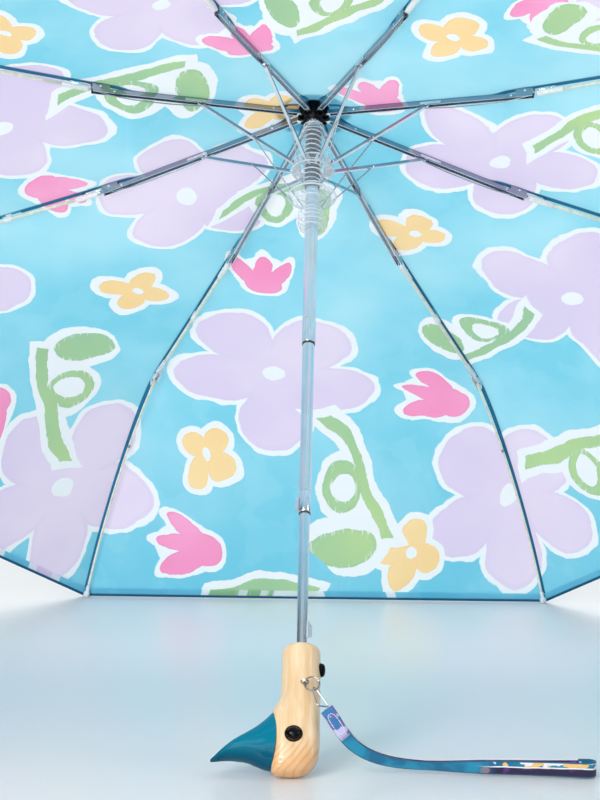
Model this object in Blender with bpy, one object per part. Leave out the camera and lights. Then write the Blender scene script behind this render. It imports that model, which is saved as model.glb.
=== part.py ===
"""Folding umbrella, opened out and resting on the floor on its duck-head handle and two rib tips.

Everything is drawn in the umbrella's own frame and then leant back: z runs up the shaft with the
hub at 0, +y is the side that faces the floor, and -x is the way the duck looks. Metres throughout.
"""

import math

import bmesh
import bpy
from mathutils import Matrix, Vector

MM = 0.001

# How the open umbrella stands: the lean of the shaft, and where the hub is above the floor.
LEAN_DEG = -39.3
HUB_AT = (0.0, 98.75 * MM, 407.13 * MM)

# Ribs: eight, evenly spaced, with two of them straddling the floor side.
RIBS = 8
RIB_STEP = 2 * math.pi / RIBS
HUB_PIN_R, HUB_PIN_Z = 10 * MM, -3 * MM
A_ANGLE = math.radians(-9.3)
A_LENGTH = 153 * MM
A_PIN_LIFT = 3.4 * MM
STRETCHER_ON_A, STRETCHER_DROP = 78.4 * MM, -0.8 * MM
B_ANGLE = math.radians(-3.5)
B_LENGTH = 171.5 * MM
B_ROD_DROP = -3.0 * MM
C_PIN_DROP = -5.6 * MM
C_ANGLE = math.radians(-39.05)
C_LENGTH = 189.8 * MM
C_BOW = 14 * MM
ROD_B, ROD_C, BEAD = 1.25 * MM, 0.95 * MM, 2.6 * MM
PIN, PIN_HOLE = 0.45 * MM, 0.8 * MM

# The runner: its hinge circle on the shaft, and the collar below it.
RUNNER_PIN_R, RUNNER_PIN_Z = 13.6 * MM, -48 * MM

# The three tubes: outer radius, bore, top and bottom.
UPPER = (4.60 * MM, 4.22 * MM, 1 * MM, -195 * MM)
MIDDLE = (4.05 * MM, 3.72 * MM, -165 * MM, -329 * MM)
LOWER = (3.55 * MM, 3.10 * MM, -299 * MM, -446 * MM)
UPPER_CATCH_Z, LOWER_CATCH_Z = -322.5 * MM, -416 * MM

# The handle.
BORE_END = -450 * MM
BEAK_PLANE = -14.8 * MM
BUTTON_Z, SCREW_EYE_Z = -446.5 * MM, -463.0 * MM
EYE_X, EYE_Z, EYE_R = -3.6 * MM, -498.5 * MM, 4.6 * MM

# Fabric: distance out from the shaft and height at a rib, from the hub to the hem.
FABRIC = [
    (6.0, 4.0), (14.0, 4.0), (20.0, 1.6), (30.0, -2.9), (50.0, -6.3), (80.0, -11.2),
    (120.0, -17.7), (138.0, -20.6), (147.0, -19.6), (160.0, -20.6), (172.0, -22.0),
    (205.0, -24.6), (250.0, -28.0), (300.0, -31.2),
    (325.0, -33.0), (345.0, -36.8), (370.0, -48.4), (400.0, -68.6), (430.0, -93.4),
    (455.0, -118.2), (472.0, -139.2), (486.0, -158.6),
]
FABRIC_THICK = 0.8 * MM
GORE_STEPS = 6
SEAM_GAP = 0.5 * MM

# Each finish: colour, metallic, roughness and transmission.
FINISHES = {
    "steel": ((0.62, 0.64, 0.66), 1.0, 0.3, 0.0),
    "fibreglass": ((0.86, 0.86, 0.80), 0.0, 0.4, 0.0),
    "fabric": ((0.30, 0.62, 0.85), 0.0, 0.8, 0.0),
    "black_plastic": ((0.02, 0.02, 0.02), 0.0, 0.4, 0.0),
    "teal_plastic": ((0.02, 0.10, 0.20), 0.0, 0.4, 0.0),
    "tube_steel": ((0.70, 0.70, 0.72), 1.0, 0.2, 0.0),
    "clear_plastic": ((0.90, 0.90, 0.90), 0.0, 0.1, 1.0),
    "maple": ((0.82, 0.60, 0.38), 0.0, 0.4, 0.0),
    "teal_gloss": ((0.00, 0.19, 0.33), 0.0, 0.15, 0.0),
    "black_gloss": ((0.02, 0.015, 0.01), 0.0, 0.1, 0.0),
    "chrome": ((0.80, 0.80, 0.80), 1.0, 0.1, 0.0),
    "webbing": ((0.03, 0.20, 0.38), 0.0, 0.8, 0.0),
}


def clear_scene():
    for item in list(bpy.data.objects):
        bpy.data.objects.remove(item)


def material(part, finish):
    """A part's own material, in one of the finishes."""
    colour, metallic, roughness, see_through = FINISHES[finish]
    made = bpy.data.materials.new(f"{part}_{finish}")
    made.use_nodes = True
    shader = made.node_tree.nodes["Principled BSDF"]
    shader.inputs["Base Color"].default_value = (*colour, 1)
    shader.inputs["Metallic"].default_value = metallic
    shader.inputs["Roughness"].default_value = roughness
    shader.inputs["Transmission Weight"].default_value = see_through
    return made


def mesh_of(name, verts, faces):
    """A mesh with its faces turned outwards."""
    made = bpy.data.meshes.new(name)
    made.from_pydata([tuple(v) for v in verts], [], faces)
    work = bmesh.new()
    work.from_mesh(made)
    bmesh.ops.recalc_face_normals(work, faces=work.faces)
    work.to_mesh(made)
    work.free()
    return made


def loops_mesh(name, loops, ring=False):
    """A skin over loops of equally many points: closed on itself, or capped at both ends."""
    count = len(loops[0])
    verts = [v for loop in loops for v in loop]
    faces = []
    for i in range(len(loops) if ring else len(loops) - 1):
        a, b = i * count, (i + 1) % len(loops) * count
        faces += [(a + k, a + (k + 1) % count, b + (k + 1) % count, b + k) for k in range(count)]
    if not ring:
        last = (len(loops) - 1) * count
        faces += [tuple(range(count)), tuple(last + k for k in range(count))]
    return mesh_of(name, verts, faces)


def lathe(name, outline, steps=24):
    """The closed outline, as (radius, height) points, turned about the z axis."""
    loops = []
    for i in range(steps):
        a = 2 * math.pi * i / steps
        loops.append([(r * math.cos(a), r * math.sin(a), z) for r, z in outline])
    return loops_mesh(name, loops, ring=True)


def stack(name, outline, steps=24):
    """A solid of revolution with closed ends, from (radius, height) points along its side."""
    return loops_mesh(name, [[(u, v, z) for u, v in circle(r, steps)] for r, z in outline])


def box(name, low, high):
    x, y, z = zip(low, high)
    verts = [(x[i], y[j], z[k]) for i in (0, 1) for j in (0, 1) for k in (0, 1)]
    faces = [(0, 1, 3, 2), (4, 6, 7, 5), (0, 4, 5, 1), (2, 3, 7, 6), (0, 2, 6, 4), (1, 5, 7, 3)]
    return mesh_of(name, verts, faces)


def rod(name, start, end, radius, steps=8):
    return sweep(name, [Vector(start), Vector(end)], circle(radius, steps))


def circle(radius, steps):
    turns = [2 * math.pi * k / steps for k in range(steps)]
    return [(radius * math.cos(a), radius * math.sin(a)) for a in turns]


def sweep(name, path, outline, closed=False, up=None):
    """The outline carried along the path; its second axis keeps as near as it can to `up`."""
    loops, side = [], None
    count = len(path)
    for i, point in enumerate(path):
        before = path[i - 1] if closed or i else point
        after = path[(i + 1) % count] if closed or i < count - 1 else point
        along = (after - before).normalized()
        if up is not None:
            side = along.cross(up).normalized()
        elif side is None:
            side = along.orthogonal().normalized()
        side = (side - along * side.dot(along)).normalized()
        over = side.cross(along)
        loops.append([point + side * u + over * v for u, v in outline])
    return loops_mesh(name, loops, ring=closed)


def combine(name, first, others, operation):
    """One mesh from several, by exact Booleans."""
    base = bpy.data.objects.new(name, first)
    bpy.context.scene.collection.objects.link(base)
    helpers = []
    for i, other in enumerate(others):
        helper = bpy.data.objects.new(f"{name}_helper_{i}", other)
        bpy.context.scene.collection.objects.link(helper)
        helpers.append(helper)
        change = base.modifiers.new(f"change_{i}", "BOOLEAN")
        change.operation, change.object, change.solver = operation, helper, "EXACT"
    graph = bpy.context.evaluated_depsgraph_get()
    made = bpy.data.meshes.new_from_object(base.evaluated_get(graph))
    for item in [base, *helpers]:
        bpy.data.objects.remove(item)
    return made


def join(name, first, *others):
    return combine(name, first, others, "UNION")


def cut(name, first, *others):
    return combine(name, first, others, "DIFFERENCE")


def moved(mesh, matrix):
    mesh.transform(matrix)
    return mesh


def across(x, z, radius, half, steps=8):
    """A pin or a hole along y."""
    return rod("across", (x, -half, z), (x, half, z), radius, steps)


def place(name, mesh, finish, at=Matrix.Identity(4), smooth=False):
    """A part in the umbrella's frame: a child of the upper tube, which leans back."""
    made = bpy.data.objects.new(name, mesh)
    bpy.context.scene.collection.objects.link(made)
    if name == "upper_tube":
        made.location = HUB_AT
        made.rotation_euler = (math.radians(LEAN_DEG), 0, 0)
    else:
        made.parent = bpy.data.objects["upper_tube"]
        made.matrix_basis = at
    mesh.materials.clear()
    mesh.materials.append(material(name, finish))
    for face in mesh.polygons:
        face.use_smooth = smooth


def place_round(name, mesh, finish, point):
    """A part drawn in the umbrella's frame, with its origin moved to a point on its axis."""
    shift = Matrix.Translation(point)
    place(name, moved(mesh, shift.inverted()), finish, shift, smooth=True)


def rib_turn(index):
    """Rib 1 to rib 8, going round from just past the side that faces the floor."""
    return math.pi / 2 + RIB_STEP * (index - 0.5)


def rib_frame(index, reach, height, angle):
    """The frame of a rib part: x runs along it, and z points to the fabric."""
    return (
        Matrix.Rotation(rib_turn(index), 4, "Z")
        @ Matrix.Translation((reach, 0, height))
        @ Matrix.Rotation(-angle, 4, "Y")
    )


def on_rib(start, angle, along, lift):
    return (
        start[0] + along * math.cos(angle) - lift * math.sin(angle),
        start[1] + along * math.sin(angle) + lift * math.cos(angle),
    )


HUB_PIN = (HUB_PIN_R, HUB_PIN_Z)
P_PIN = on_rib(HUB_PIN, A_ANGLE, STRETCHER_ON_A, STRETCHER_DROP)
B_PIN = on_rib(HUB_PIN, A_ANGLE, A_LENGTH, A_PIN_LIFT)
C_PIN = on_rib(B_PIN, B_ANGLE, B_LENGTH, C_PIN_DROP)
S_REACH, S_RISE = P_PIN[0] - RUNNER_PIN_R, P_PIN[1] - RUNNER_PIN_Z
S_LENGTH, S_ANGLE = math.hypot(S_REACH, S_RISE), math.atan2(S_RISE, S_REACH)


def inner_rib():
    """The steel channel, open underneath, with a pin for the stretcher and ears for the next rod."""
    body = box("channel", (-1.7 * MM, -2.0 * MM, -1.6 * MM), (150 * MM, 2.0 * MM, 1.6 * MM))
    hollow = box("hollow", (3.0 * MM, -1.4 * MM, -2.6 * MM), (151 * MM, 1.4 * MM, 1.0 * MM))
    body = cut("channel", body, hollow, across(0, 0, PIN_HOLE, 3 * MM))
    ears = [
        box("ear", (146 * MM, side - 0.3 * MM, -1.5 * MM), (159 * MM, side + 0.3 * MM, 5.0 * MM))
        for side in (-1.72 * MM, 1.72 * MM)
    ]
    pins = [
        across(STRETCHER_ON_A, STRETCHER_DROP, PIN, 2.3 * MM),
        across(A_LENGTH, A_PIN_LIFT, PIN, 2.3 * MM),
    ]
    return join("inner_rib", body, *ears, *pins)


def stretcher():
    """From the runner up to the channel, which it folds into."""
    end = S_LENGTH - 1.5 * MM
    body = box("stretcher", (-1.4 * MM, -1.05 * MM, -1.2 * MM), (end, 1.05 * MM, 1.0 * MM))
    head = across(S_LENGTH, 0, 1.4 * MM, 1.05 * MM)
    link = box("link", (S_LENGTH - 4 * MM, -0.8 * MM, -0.8 * MM), (S_LENGTH, 0.8 * MM, 0.8 * MM))
    whole = join("stretcher", body, head, link)
    return cut("stretcher", whole, across(S_LENGTH, 0, PIN_HOLE, 2 * MM))


def middle_rib():
    """A bracket hinged on the channel's ears, the sleeve under it, the rod and its outer fork."""
    tongue = across(0, 0, 1.5 * MM, 1.05 * MM)
    bracket = box("bracket", (0.5 * MM, -1.05 * MM, -1.4 * MM), (22 * MM, 1.05 * MM, 1.2 * MM))
    sleeve = rod("sleeve", (8.6 * MM, 0, B_ROD_DROP), (28 * MM, 0, B_ROD_DROP), 2.0 * MM)
    shank = rod("shank", (27 * MM, 0, B_ROD_DROP), (160 * MM, 0, B_ROD_DROP), ROD_B, 8)
    eyelet = rod("eyelet", (80 * MM, 0, B_ROD_DROP), (86 * MM, 0, B_ROD_DROP), 1.9 * MM, 8)
    block = box("block", (157 * MM, -1.9 * MM, -3.7 * MM), (176 * MM, 1.9 * MM, -1.5 * MM))
    plates = [
        box("plate", (162 * MM, low * MM, -7.4 * MM), (176.4 * MM, (low + 0.64) * MM, -1.6 * MM))
        for low in (-1.94, 1.30)
    ]
    pin = across(B_LENGTH, C_PIN_DROP, PIN, 2.2 * MM)
    body = join("middle_rib", bracket, tongue, sleeve, shank, eyelet, block, *plates, pin)
    return cut("middle_rib", body, across(0, 0, PIN_HOLE, 2 * MM))


def bow(share):
    """The bend of the outer rod at a share of its length."""
    return 4 * C_BOW * share * (1 - share)


def outer_rib():
    """The thin rod out to the hem, bent by the fabric, with a bead at its tip."""
    slope = math.atan(4 * C_BOW / C_LENGTH)
    tongue = across(0, 0, 1.4 * MM, 0.95 * MM)
    arm = box("arm", (0.4 * MM, -0.95 * MM, -1.1 * MM), (9 * MM, 0.95 * MM, 1.1 * MM))
    arm.transform(Matrix.Rotation(-slope, 4, "Y"))
    shares = [0.02 + 0.98 * i / 12 for i in range(13)]
    path = [Vector((C_LENGTH * s, 0, bow(s))) for s in shares]
    shank = sweep("shank", path, circle(ROD_C, 8))
    turns = [math.radians(a) for a in (20, 50, 80, 110, 140, 165)]
    bead = stack("bead", [(BEAD * math.sin(a), BEAD * math.cos(a)) for a in turns], 10)
    bead.transform(Matrix.Translation((C_LENGTH, 0, 0)))
    body = join("outer_rib", arm, tongue, shank, bead)
    return cut("outer_rib", body, across(0, 0, PIN_HOLE, 2 * MM))


def add_ribs():
    kinds = (
        ("inner_rib", inner_rib(), HUB_PIN, A_ANGLE, "steel"),
        ("stretcher", stretcher(), (RUNNER_PIN_R, RUNNER_PIN_Z), S_ANGLE, "steel"),
        ("middle_rib", middle_rib(), B_PIN, B_ANGLE, "fibreglass"),
        ("outer_rib", outer_rib(), C_PIN, C_ANGLE, "fibreglass"),
    )
    for name, mesh, pin, angle, finish in kinds:
        for index in range(1, RIBS + 1):
            place(f"{name}_{index}", mesh.copy(), finish, rib_frame(index, *pin, angle))


def smooth_line(points, steps):
    """A curve through the points, with `steps` pieces between each pair."""
    out = []
    for i in range(len(points) - 1):
        a, b = Vector(points[max(i - 1, 0)]), Vector(points[i])
        c, d = Vector(points[i + 1]), Vector(points[min(i + 2, len(points) - 1)])
        for k in range(steps):
            t = k / steps
            bend = 2 * a - 5 * b + 4 * c - d
            twist = 3 * b - a - 3 * c + d
            out.append(0.5 * (2 * b + (c - a) * t + bend * t * t + twist * t**3))
    return [*out, Vector(points[-1])]


def gore_rows(index):
    """Rows of points over one gore, stretched straight from rib to rib, just short of each seam."""
    turns = [Matrix.Rotation(rib_turn(i), 3, "Z") for i in (index, index + 1)]
    rows = []
    for r, z in FABRIC:
        low, high = [turn @ Vector((r * MM, 0, z * MM)) for turn in turns]
        inset = SEAM_GAP / (high - low).length
        shares = [inset + (1 - 2 * inset) * k / GORE_STEPS for k in range(GORE_STEPS + 1)]
        rows.append([low.lerp(high, share) for share in shares])
    return rows


def normal_at(rows, i, k):
    """The upward normal of the sheet at one of its points."""
    along = rows[min(i + 1, len(rows) - 1)][k] - rows[max(i - 1, 0)][k]
    over = rows[i][min(k + 1, GORE_STEPS)] - rows[i][max(k - 1, 0)]
    normal = along.cross(over).normalized()
    return normal if normal.z > 0 else -normal


def gore(index):
    """One panel of the canopy, as a thin closed sheet."""
    rows = gore_rows(index)
    count, columns = len(rows), GORE_STEPS + 1
    verts = []
    for i, row in enumerate(rows):
        for k, point in enumerate(row):
            verts += [point, point - normal_at(rows, i, k) * FABRIC_THICK]

    def at(place, below):
        return 2 * (place[0] * columns + place[1]) + below

    faces = []
    for i in range(count - 1):
        for k in range(columns - 1):
            corners = [(i, k), (i, k + 1), (i + 1, k + 1), (i + 1, k)]
            faces += [tuple(at(corner, below) for corner in corners) for below in (0, 1)]
    edge = [(0, k) for k in range(columns)]
    edge += [(i, columns - 1) for i in range(1, count)]
    edge += [(count - 1, k) for k in range(columns - 2, -1, -1)]
    edge += [(i, 0) for i in range(count - 2, 0, -1)]
    for a, b in zip(edge, edge[1:] + edge[:1]):
        faces.append((at(a, 0), at(b, 0), at(b, 1), at(a, 1)))
    return mesh_of(f"canopy_gore_{index}", verts, faces)


def hub():
    """The notched hub: a full disc on top, eight slots below, and the wire the ribs hang on."""
    body = lathe(
        "hub",
        [(4.95 * MM, -6.5 * MM), (9.6 * MM, -6.5 * MM), (11.4 * MM, -5.4 * MM), (11.4 * MM, 1.6 * MM),
         (10.4 * MM, 3.0 * MM), (4.95 * MM, 3.0 * MM)],
        32,
    )
    slots = []
    for index in range(1, RIBS + 1):
        slot = box("slot", (7.3 * MM, -2.35 * MM, -7.5 * MM), (13 * MM, 2.35 * MM, -0.4 * MM))
        slots.append(moved(slot, Matrix.Rotation(rib_turn(index), 4, "Z")))
    body = cut("hub", body, *slots)
    path = [Vector((u, v, HUB_PIN_Z)) for u, v in circle(HUB_PIN_R, 32)]
    wire = sweep("wire", path, circle(PIN, 6), closed=True, up=Vector((0, 0, 1)))
    return join("hub", body, wire)


def cap():
    """The cap and short ferrule on the outside, over the fabric."""
    return stack(
        "cap",
        [(10.5 * MM, 4.9 * MM), (11.5 * MM, 5.6 * MM), (11.0 * MM, 7.6 * MM), (8.6 * MM, 9.6 * MM),
         (5.0 * MM, 10.8 * MM), (3.9 * MM, 12.0 * MM), (3.6 * MM, 17.0 * MM), (2.6 * MM, 18.6 * MM),
         (0.8 * MM, 19.2 * MM)],
        24,
    )


def tube(name, sizes, *windows):
    outer, bore, top, bottom = sizes
    body = lathe(name, [(bore, top), (outer, top), (outer, bottom), (bore, bottom)], 24)
    return cut(name, body, *windows) if windows else body


def runner():
    """The clear runner: domed sleeve, notched flange and lower sleeve, open inside for its spring."""
    body = lathe(
        "runner",
        [(4.95 * MM, -11.5 * MM), (7.0 * MM, -11.5 * MM), (8.3 * MM, -13.2 * MM), (8.9 * MM, -17.0 * MM),
         (8.9 * MM, -36.0 * MM), (8.5 * MM, -41.5 * MM), (11.0 * MM, -44.0 * MM), (15.0 * MM, -44.6 * MM),
         (15.0 * MM, -51.6 * MM), (11.0 * MM, -52.6 * MM), (7.9 * MM, -54.0 * MM), (7.7 * MM, -66.0 * MM),
         (6.9 * MM, -66.0 * MM), (6.9 * MM, -14.0 * MM), (4.95 * MM, -14.0 * MM)],
        24,
    )
    slots = []
    for index in range(1, RIBS + 1):
        slot = box("slot", (11.4 * MM, -1.5 * MM, -60 * MM), (16.5 * MM, 1.5 * MM, -41.8 * MM))
        slots.append(moved(slot, Matrix.Rotation(rib_turn(index), 4, "Z")))
    return cut("runner", body, *slots)


def spring():
    """The wire coil that shows through the runner."""
    turns, each, top, bottom = 12, 10, -15.2 * MM, -64.5 * MM
    steps = turns * each
    ring = circle(5.75 * MM, each)
    path = [
        Vector((*ring[i % each], top + (bottom - top) * i / steps)) for i in range(steps + 1)
    ]
    return sweep("spring", path, circle(0.6 * MM, 4), up=Vector((0, 0, 1)))


def collar():
    """The lower collar: flared wings, skirt and round bulge; it slides up over the runner's sleeve."""
    body = lathe(
        "collar",
        [(8.1 * MM, -67.0 * MM), (10.2 * MM, -67.0 * MM), (13.0 * MM, -70.0 * MM), (17.0 * MM, -71.6 * MM),
         (17.4 * MM, -73.0 * MM), (15.8 * MM, -74.4 * MM), (11.6 * MM, -77.4 * MM), (9.6 * MM, -82.0 * MM),
         (9.2 * MM, -85.0 * MM), (9.7 * MM, -87.5 * MM), (9.9 * MM, -92.0 * MM), (9.5 * MM, -96.5 * MM),
         (7.6 * MM, -99.4 * MM), (4.95 * MM, -99.8 * MM), (4.95 * MM, -79.4 * MM), (8.1 * MM, -79.4 * MM)],
        24,
    )
    slots = []
    for index in range(1, RIBS + 1):
        slot = box("slot", (10.8 * MM, -1.6 * MM, -76.6 * MM), (18.5 * MM, 1.6 * MM, -66.0 * MM))
        slots.append(moved(slot, Matrix.Rotation(rib_turn(index), 4, "Z")))
    return cut("collar", body, *slots)


def catch(side, reach, half_width, length, wedge):
    """A spring catch poking out of a tube on one side; `wedge` slopes its upper face."""
    inner = 4.25 * MM if side < 0 else 3.95 * MM
    half = length / 2
    outline = [
        (inner, half - wedge * 0.1), (reach, half - wedge), (reach, 0.5 * MM - half), (inner, -half),
    ]
    loops = [[(side * x, y, h) for x, h in outline] for y in (-half_width, half_width)]
    return loops_mesh("catch", loops)


# The wooden part of the handle, as height, left, right and half depth, in millimetres.
WOOD = [
    (-431.0, -9.6, 9.6, 9.6), (-431.7, -11.2, 11.2, 11.2), (-433.6, -12.4, 12.4, 12.4),
    (-438.0, -12.7, 12.7, 12.7), (-450.0, -12.7, 12.8, 12.7), (-462.0, -12.8, 12.8, 12.7),
    (-468.0, -13.6, 12.9, 12.8), (-473.0, -15.4, 12.9, 13.0), (-478.0, -18.2, 13.0, 13.2),
    (-484.0, -20.6, 13.1, 13.4), (-491.0, -21.6, 13.2, 13.4), (-498.0, -21.8, 13.2, 13.4),
    (-504.0, -21.2, 13.0, 13.2), (-509.0, -20.4, 12.4, 12.6), (-513.5, -19.6, 10.8, 11.6),
    (-517.5, -18.6, 8.0, 9.6), (-520.2, -17.2, 4.6, 7.2), (-521.6, -15.4, 0.6, 4.4),
]
# The beak, as distance from the shaft, depth of its middle, half height and half width, in
# millimetres.
BEAK = [
    (-15.1, 498.5, 20.6, 12.5), (-18.5, 499.2, 18.9, 12.5), (-22.3, 500.7, 16.6, 12.5),
    (-28.2, 501.9, 12.7, 12.2), (-34.0, 502.7, 9.3, 11.8), (-40.0, 504.2, 6.9, 10.8),
    (-45.0, 505.9, 4.8, 9.4), (-50.0, 508.3, 2.9, 6.9), (-54.0, 510.7, 1.7, 3.9),
    (-56.4, 512.0, 1.0, 1.7), (-57.2, 512.4, 0.5, 0.7),
]


def blunt(angle, power):
    """A point of a rounded square outline, and of a circle at power 2."""
    c, s = math.cos(angle), math.sin(angle)
    return (math.copysign(abs(c) ** (2 / power), c), math.copysign(abs(s) ** (2 / power), s))


def handle_wood():
    loops = []
    for z, left, right, deep in WOOD:
        middle, half = (left + right) / 2, (right - left) / 2
        power = 2.0 + 0.5 * min(1, max(0, (-z - 462) / 20))
        loops.append([
            ((middle + half * u) * MM, deep * v * MM, z * MM)
            for u, v in (blunt(2 * math.pi * k / 28, power) for k in range(28))
        ])
    body = loops_mesh("wood", loops)
    socket = rod("socket", (0, 0, -420 * MM), (0, 0, BORE_END), 3.9 * MM, 24)
    pit = rod("pit", (8.8 * MM, 0, BUTTON_Z), (16 * MM, 0, BUTTON_Z), 5.0 * MM, 24)
    hole_ends = [(SCREW_X, y * MM, SCREW_EYE_Z) for y in (-16, -8.4)]
    hole = rod("hole", *hole_ends, 1.1 * MM, 12)
    slab = box("slab", (-40 * MM, -30 * MM, -560 * MM), (BEAK_PLANE, 30 * MM, -440 * MM))
    return cut("wood", body, socket, pit, hole, slab)


def handle_beak():
    """A duck's bill: deep at the head and flattening to a broad tip."""
    loops = []
    for x, middle, tall, half in BEAK:
        loops.append([
            (x * MM, half * u * MM, (tall * v - middle) * MM)
            for u, v in (blunt(2 * math.pi * k / 24, 2.25) for k in range(24))
        ])
    return loops_mesh("beak", loops)


def side_of_head(side):
    """Where an eye sits, with its z axis out of the head: -1 for the front and 1 for the back."""
    place_at = Matrix.Translation((EYE_X, side * 13.5 * MM, EYE_Z))
    return place_at @ Matrix.Rotation(math.radians(-90 * side), 4, "X")


def eye():
    """A domed bead."""
    outline = [
        (EYE_R * 0.92, 0), (EYE_R, 0.5 * MM), (EYE_R, 1.1 * MM), (EYE_R * 0.86, 1.9 * MM),
        (EYE_R * 0.6, 2.7 * MM), (EYE_R * 0.25, 3.1 * MM),
    ]
    return stack("eye", outline, 20)


def push_button():
    outline = [
        (4.3 * MM, 11.0 * MM), (4.6 * MM, 11.4 * MM), (4.6 * MM, 13.6 * MM), (4.1 * MM, 14.8 * MM),
        (2.8 * MM, 15.6 * MM), (1.0 * MM, 15.9 * MM),
    ]
    return stack("button", outline, 20)


# The strap's fittings, in the umbrella's frame: the screw eye in the wood, the ring in it, the
# wire link on the ring, and the strap on the link.
SCREW_X = 3.0 * MM
SCREW_LOOP = (SCREW_X, -16.6 * MM, SCREW_EYE_Z)
RING_MIDDLE = (7.6 * MM, -16.6 * MM, -464.4 * MM)
RING_R, RING_WIRE = 4.9 * MM, 0.6 * MM


def ring_path(middle, radius, first, second, steps=18):
    first, second = Vector(first), Vector(second)
    return [Vector(middle) + first * u + second * v for u, v in circle(radius, steps)]


def screw_eye():
    """A wire loop on a short shank."""
    path = ring_path(SCREW_LOOP, 2.5 * MM, (1, 0, 0), (0, 1, 0), 16)
    loop = sweep("loop", path, circle(0.6 * MM, 6), closed=True)
    ends = [(SCREW_X, y * MM, SCREW_EYE_Z) for y in (-14.4, -9.0)]
    shank = rod("shank", *ends, 0.75 * MM, 10)
    return join("screw_eye", loop, shank)


def strap_ring():
    path = ring_path(RING_MIDDLE, RING_R, (1, 0, 0), (0, 0, 1), 18)
    return sweep("strap_ring", path, circle(RING_WIRE, 6), closed=True)


# The wire link, in its own plane: distance along it from its top bend, and half its width there.
LINK_SIDE = [(0.0, 0.0), (0.5, 1.15), (1.8, 1.75), (4.0, 2.4), (13.6, 5.4), (14.7, 5.2), (14.9, 4.4)]
LINK_ALONG = Vector((0.418, -0.02, -0.909)).normalized()
LINK_ACROSS = Vector((0.60, 0.70, 0.276))
LINK_TOP = Vector(RING_MIDDLE) + (RING_R - 1.9 * MM) * LINK_ALONG

# The strap on the floor, as the middle of its two strands: along x, along y and height, in the
# floor's frame and in millimetres. It comes off the link, comes down to the floor and lies out.
STRAP_MIDDLE = [
    (17.4, -219.2, 44.2), (21.6, -219.4, 38.2), (27.6, -218.8, 29.0), (35.6, -216.6, 19.8),
    (47.0, -214.0, 12.6), (62.0, -212.2, 8.2), (82.0, -211.8, 6.4), (110.0, -212.0, 6.1),
    (140.0, -212.6, 6.1), (166.0, -213.4, 6.1), (178.0, -213.8, 6.1), (186.0, -214.0, 6.1),
]
STRAP_HALF_GAPS = [0.95, 0.95, 1.0, 1.9, 2.7, 2.95, 2.95, 2.95, 3.2, 4.2, 5.2, 5.4]
STRAP_WIDE, STRAP_THICK, TAB_WIDE, TAB_THICK = 10.6 * MM, 1.2 * MM, 10.6 * MM, 3.8 * MM


def strap_link():
    """A triangle of wire hooked through the ring."""
    across_line = (LINK_ACROSS - LINK_ALONG * LINK_ACROSS.dot(LINK_ALONG)).normalized()
    side = LINK_SIDE + [(u, -w) for u, w in reversed(LINK_SIDE[1:])]
    path = [LINK_TOP + LINK_ALONG * u * MM + across_line * w * MM for u, w in side]
    face = LINK_ALONG.cross(across_line)
    return sweep("strap_link", path, circle(0.5 * MM, 6), closed=True, up=face)


def ribbon(name, path, thick, wide):
    """A flat band on edge: its width stays square to the path and as upright as it can."""
    corners = [(-0.5, -0.5), (0.5, -0.5), (0.5, 0.5), (-0.5, 0.5)]
    loops = []
    for i, point in enumerate(path):
        before, after = path[max(i - 1, 0)], path[min(i + 1, len(path) - 1)]
        along = (after - before).normalized()
        over = Vector((0, 0, 1))
        over = (over - along * over.dot(along)).normalized()
        side = along.cross(over)
        loops.append([point + side * u * thick + over * v * wide for u, v in corners])
    return loops_mesh(name, loops)


def wrist_strap():
    """One band out along the floor and back, with both ends in a sewn tab on the link."""
    middle = smooth_line([(x * MM, y * MM, z * MM) for x, y, z in STRAP_MIDDLE], 3)
    gaps = smooth_line([(g * MM, 0, 0) for g in STRAP_HALF_GAPS], 3)
    out = [m + Vector((0, g.x, 0)) for m, g in zip(middle, gaps)]
    back = [m - Vector((0, g.x, 0)) for m, g in zip(middle, gaps)]
    last, half = middle[-1], gaps[-1].x
    turn = [
        last + Vector((half * math.sin(math.pi * k / 6), half * math.cos(math.pi * k / 6), 0))
        for k in range(1, 6)
    ]
    band = ribbon("band", [*out[1:], *turn, *reversed(back[1:])], STRAP_THICK, STRAP_WIDE)
    tab = ribbon("tab", middle[:7], TAB_THICK, TAB_WIDE)
    whole = join("wrist_strap", tab, band)
    lean = Matrix.Translation(HUB_AT) @ Matrix.Rotation(math.radians(LEAN_DEG), 4, "X")
    return moved(whole, lean.inverted())


def add_tubes():
    """The upper tube, which carries everything, and the two that slide up into it."""
    place("upper_tube", tube("upper_tube", UPPER), "tube_steel", smooth=True)
    low, high = UPPER_CATCH_Z - 5.6 * MM, UPPER_CATCH_Z + 5.6 * MM
    window = box("window", (-6 * MM, -1.7 * MM, low), (-2 * MM, 1.7 * MM, high))
    place("middle_tube", tube("middle_tube", MIDDLE, window), "tube_steel", smooth=True)
    low, high = LOWER_CATCH_Z - 6.6 * MM, LOWER_CATCH_Z + 6.6 * MM
    window = box("window", (1.5 * MM, -1.9 * MM, low), (6 * MM, 1.9 * MM, high))
    place("lower_tube", tube("lower_tube", LOWER, window), "tube_steel", smooth=True)
    upper = catch(-1, 6.2 * MM, 1.3 * MM, 9.6 * MM, 1.2 * MM)
    place("upper_catch", upper, "steel", Matrix.Translation((0, 0, UPPER_CATCH_Z)))
    lower = catch(1, 6.6 * MM, 1.5 * MM, 12.0 * MM, 5.0 * MM)
    place("lower_catch", lower, "steel", Matrix.Translation((0, 0, LOWER_CATCH_Z)))


def add_hub_and_runner():
    place("top_notch", hub(), "black_plastic")
    place("top_cap", cap(), "teal_plastic", smooth=True)
    place("runner", runner(), "clear_plastic", smooth=True)
    place("runner_spring", spring(), "steel", smooth=True)
    place("lower_collar", collar(), "clear_plastic", smooth=True)


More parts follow.
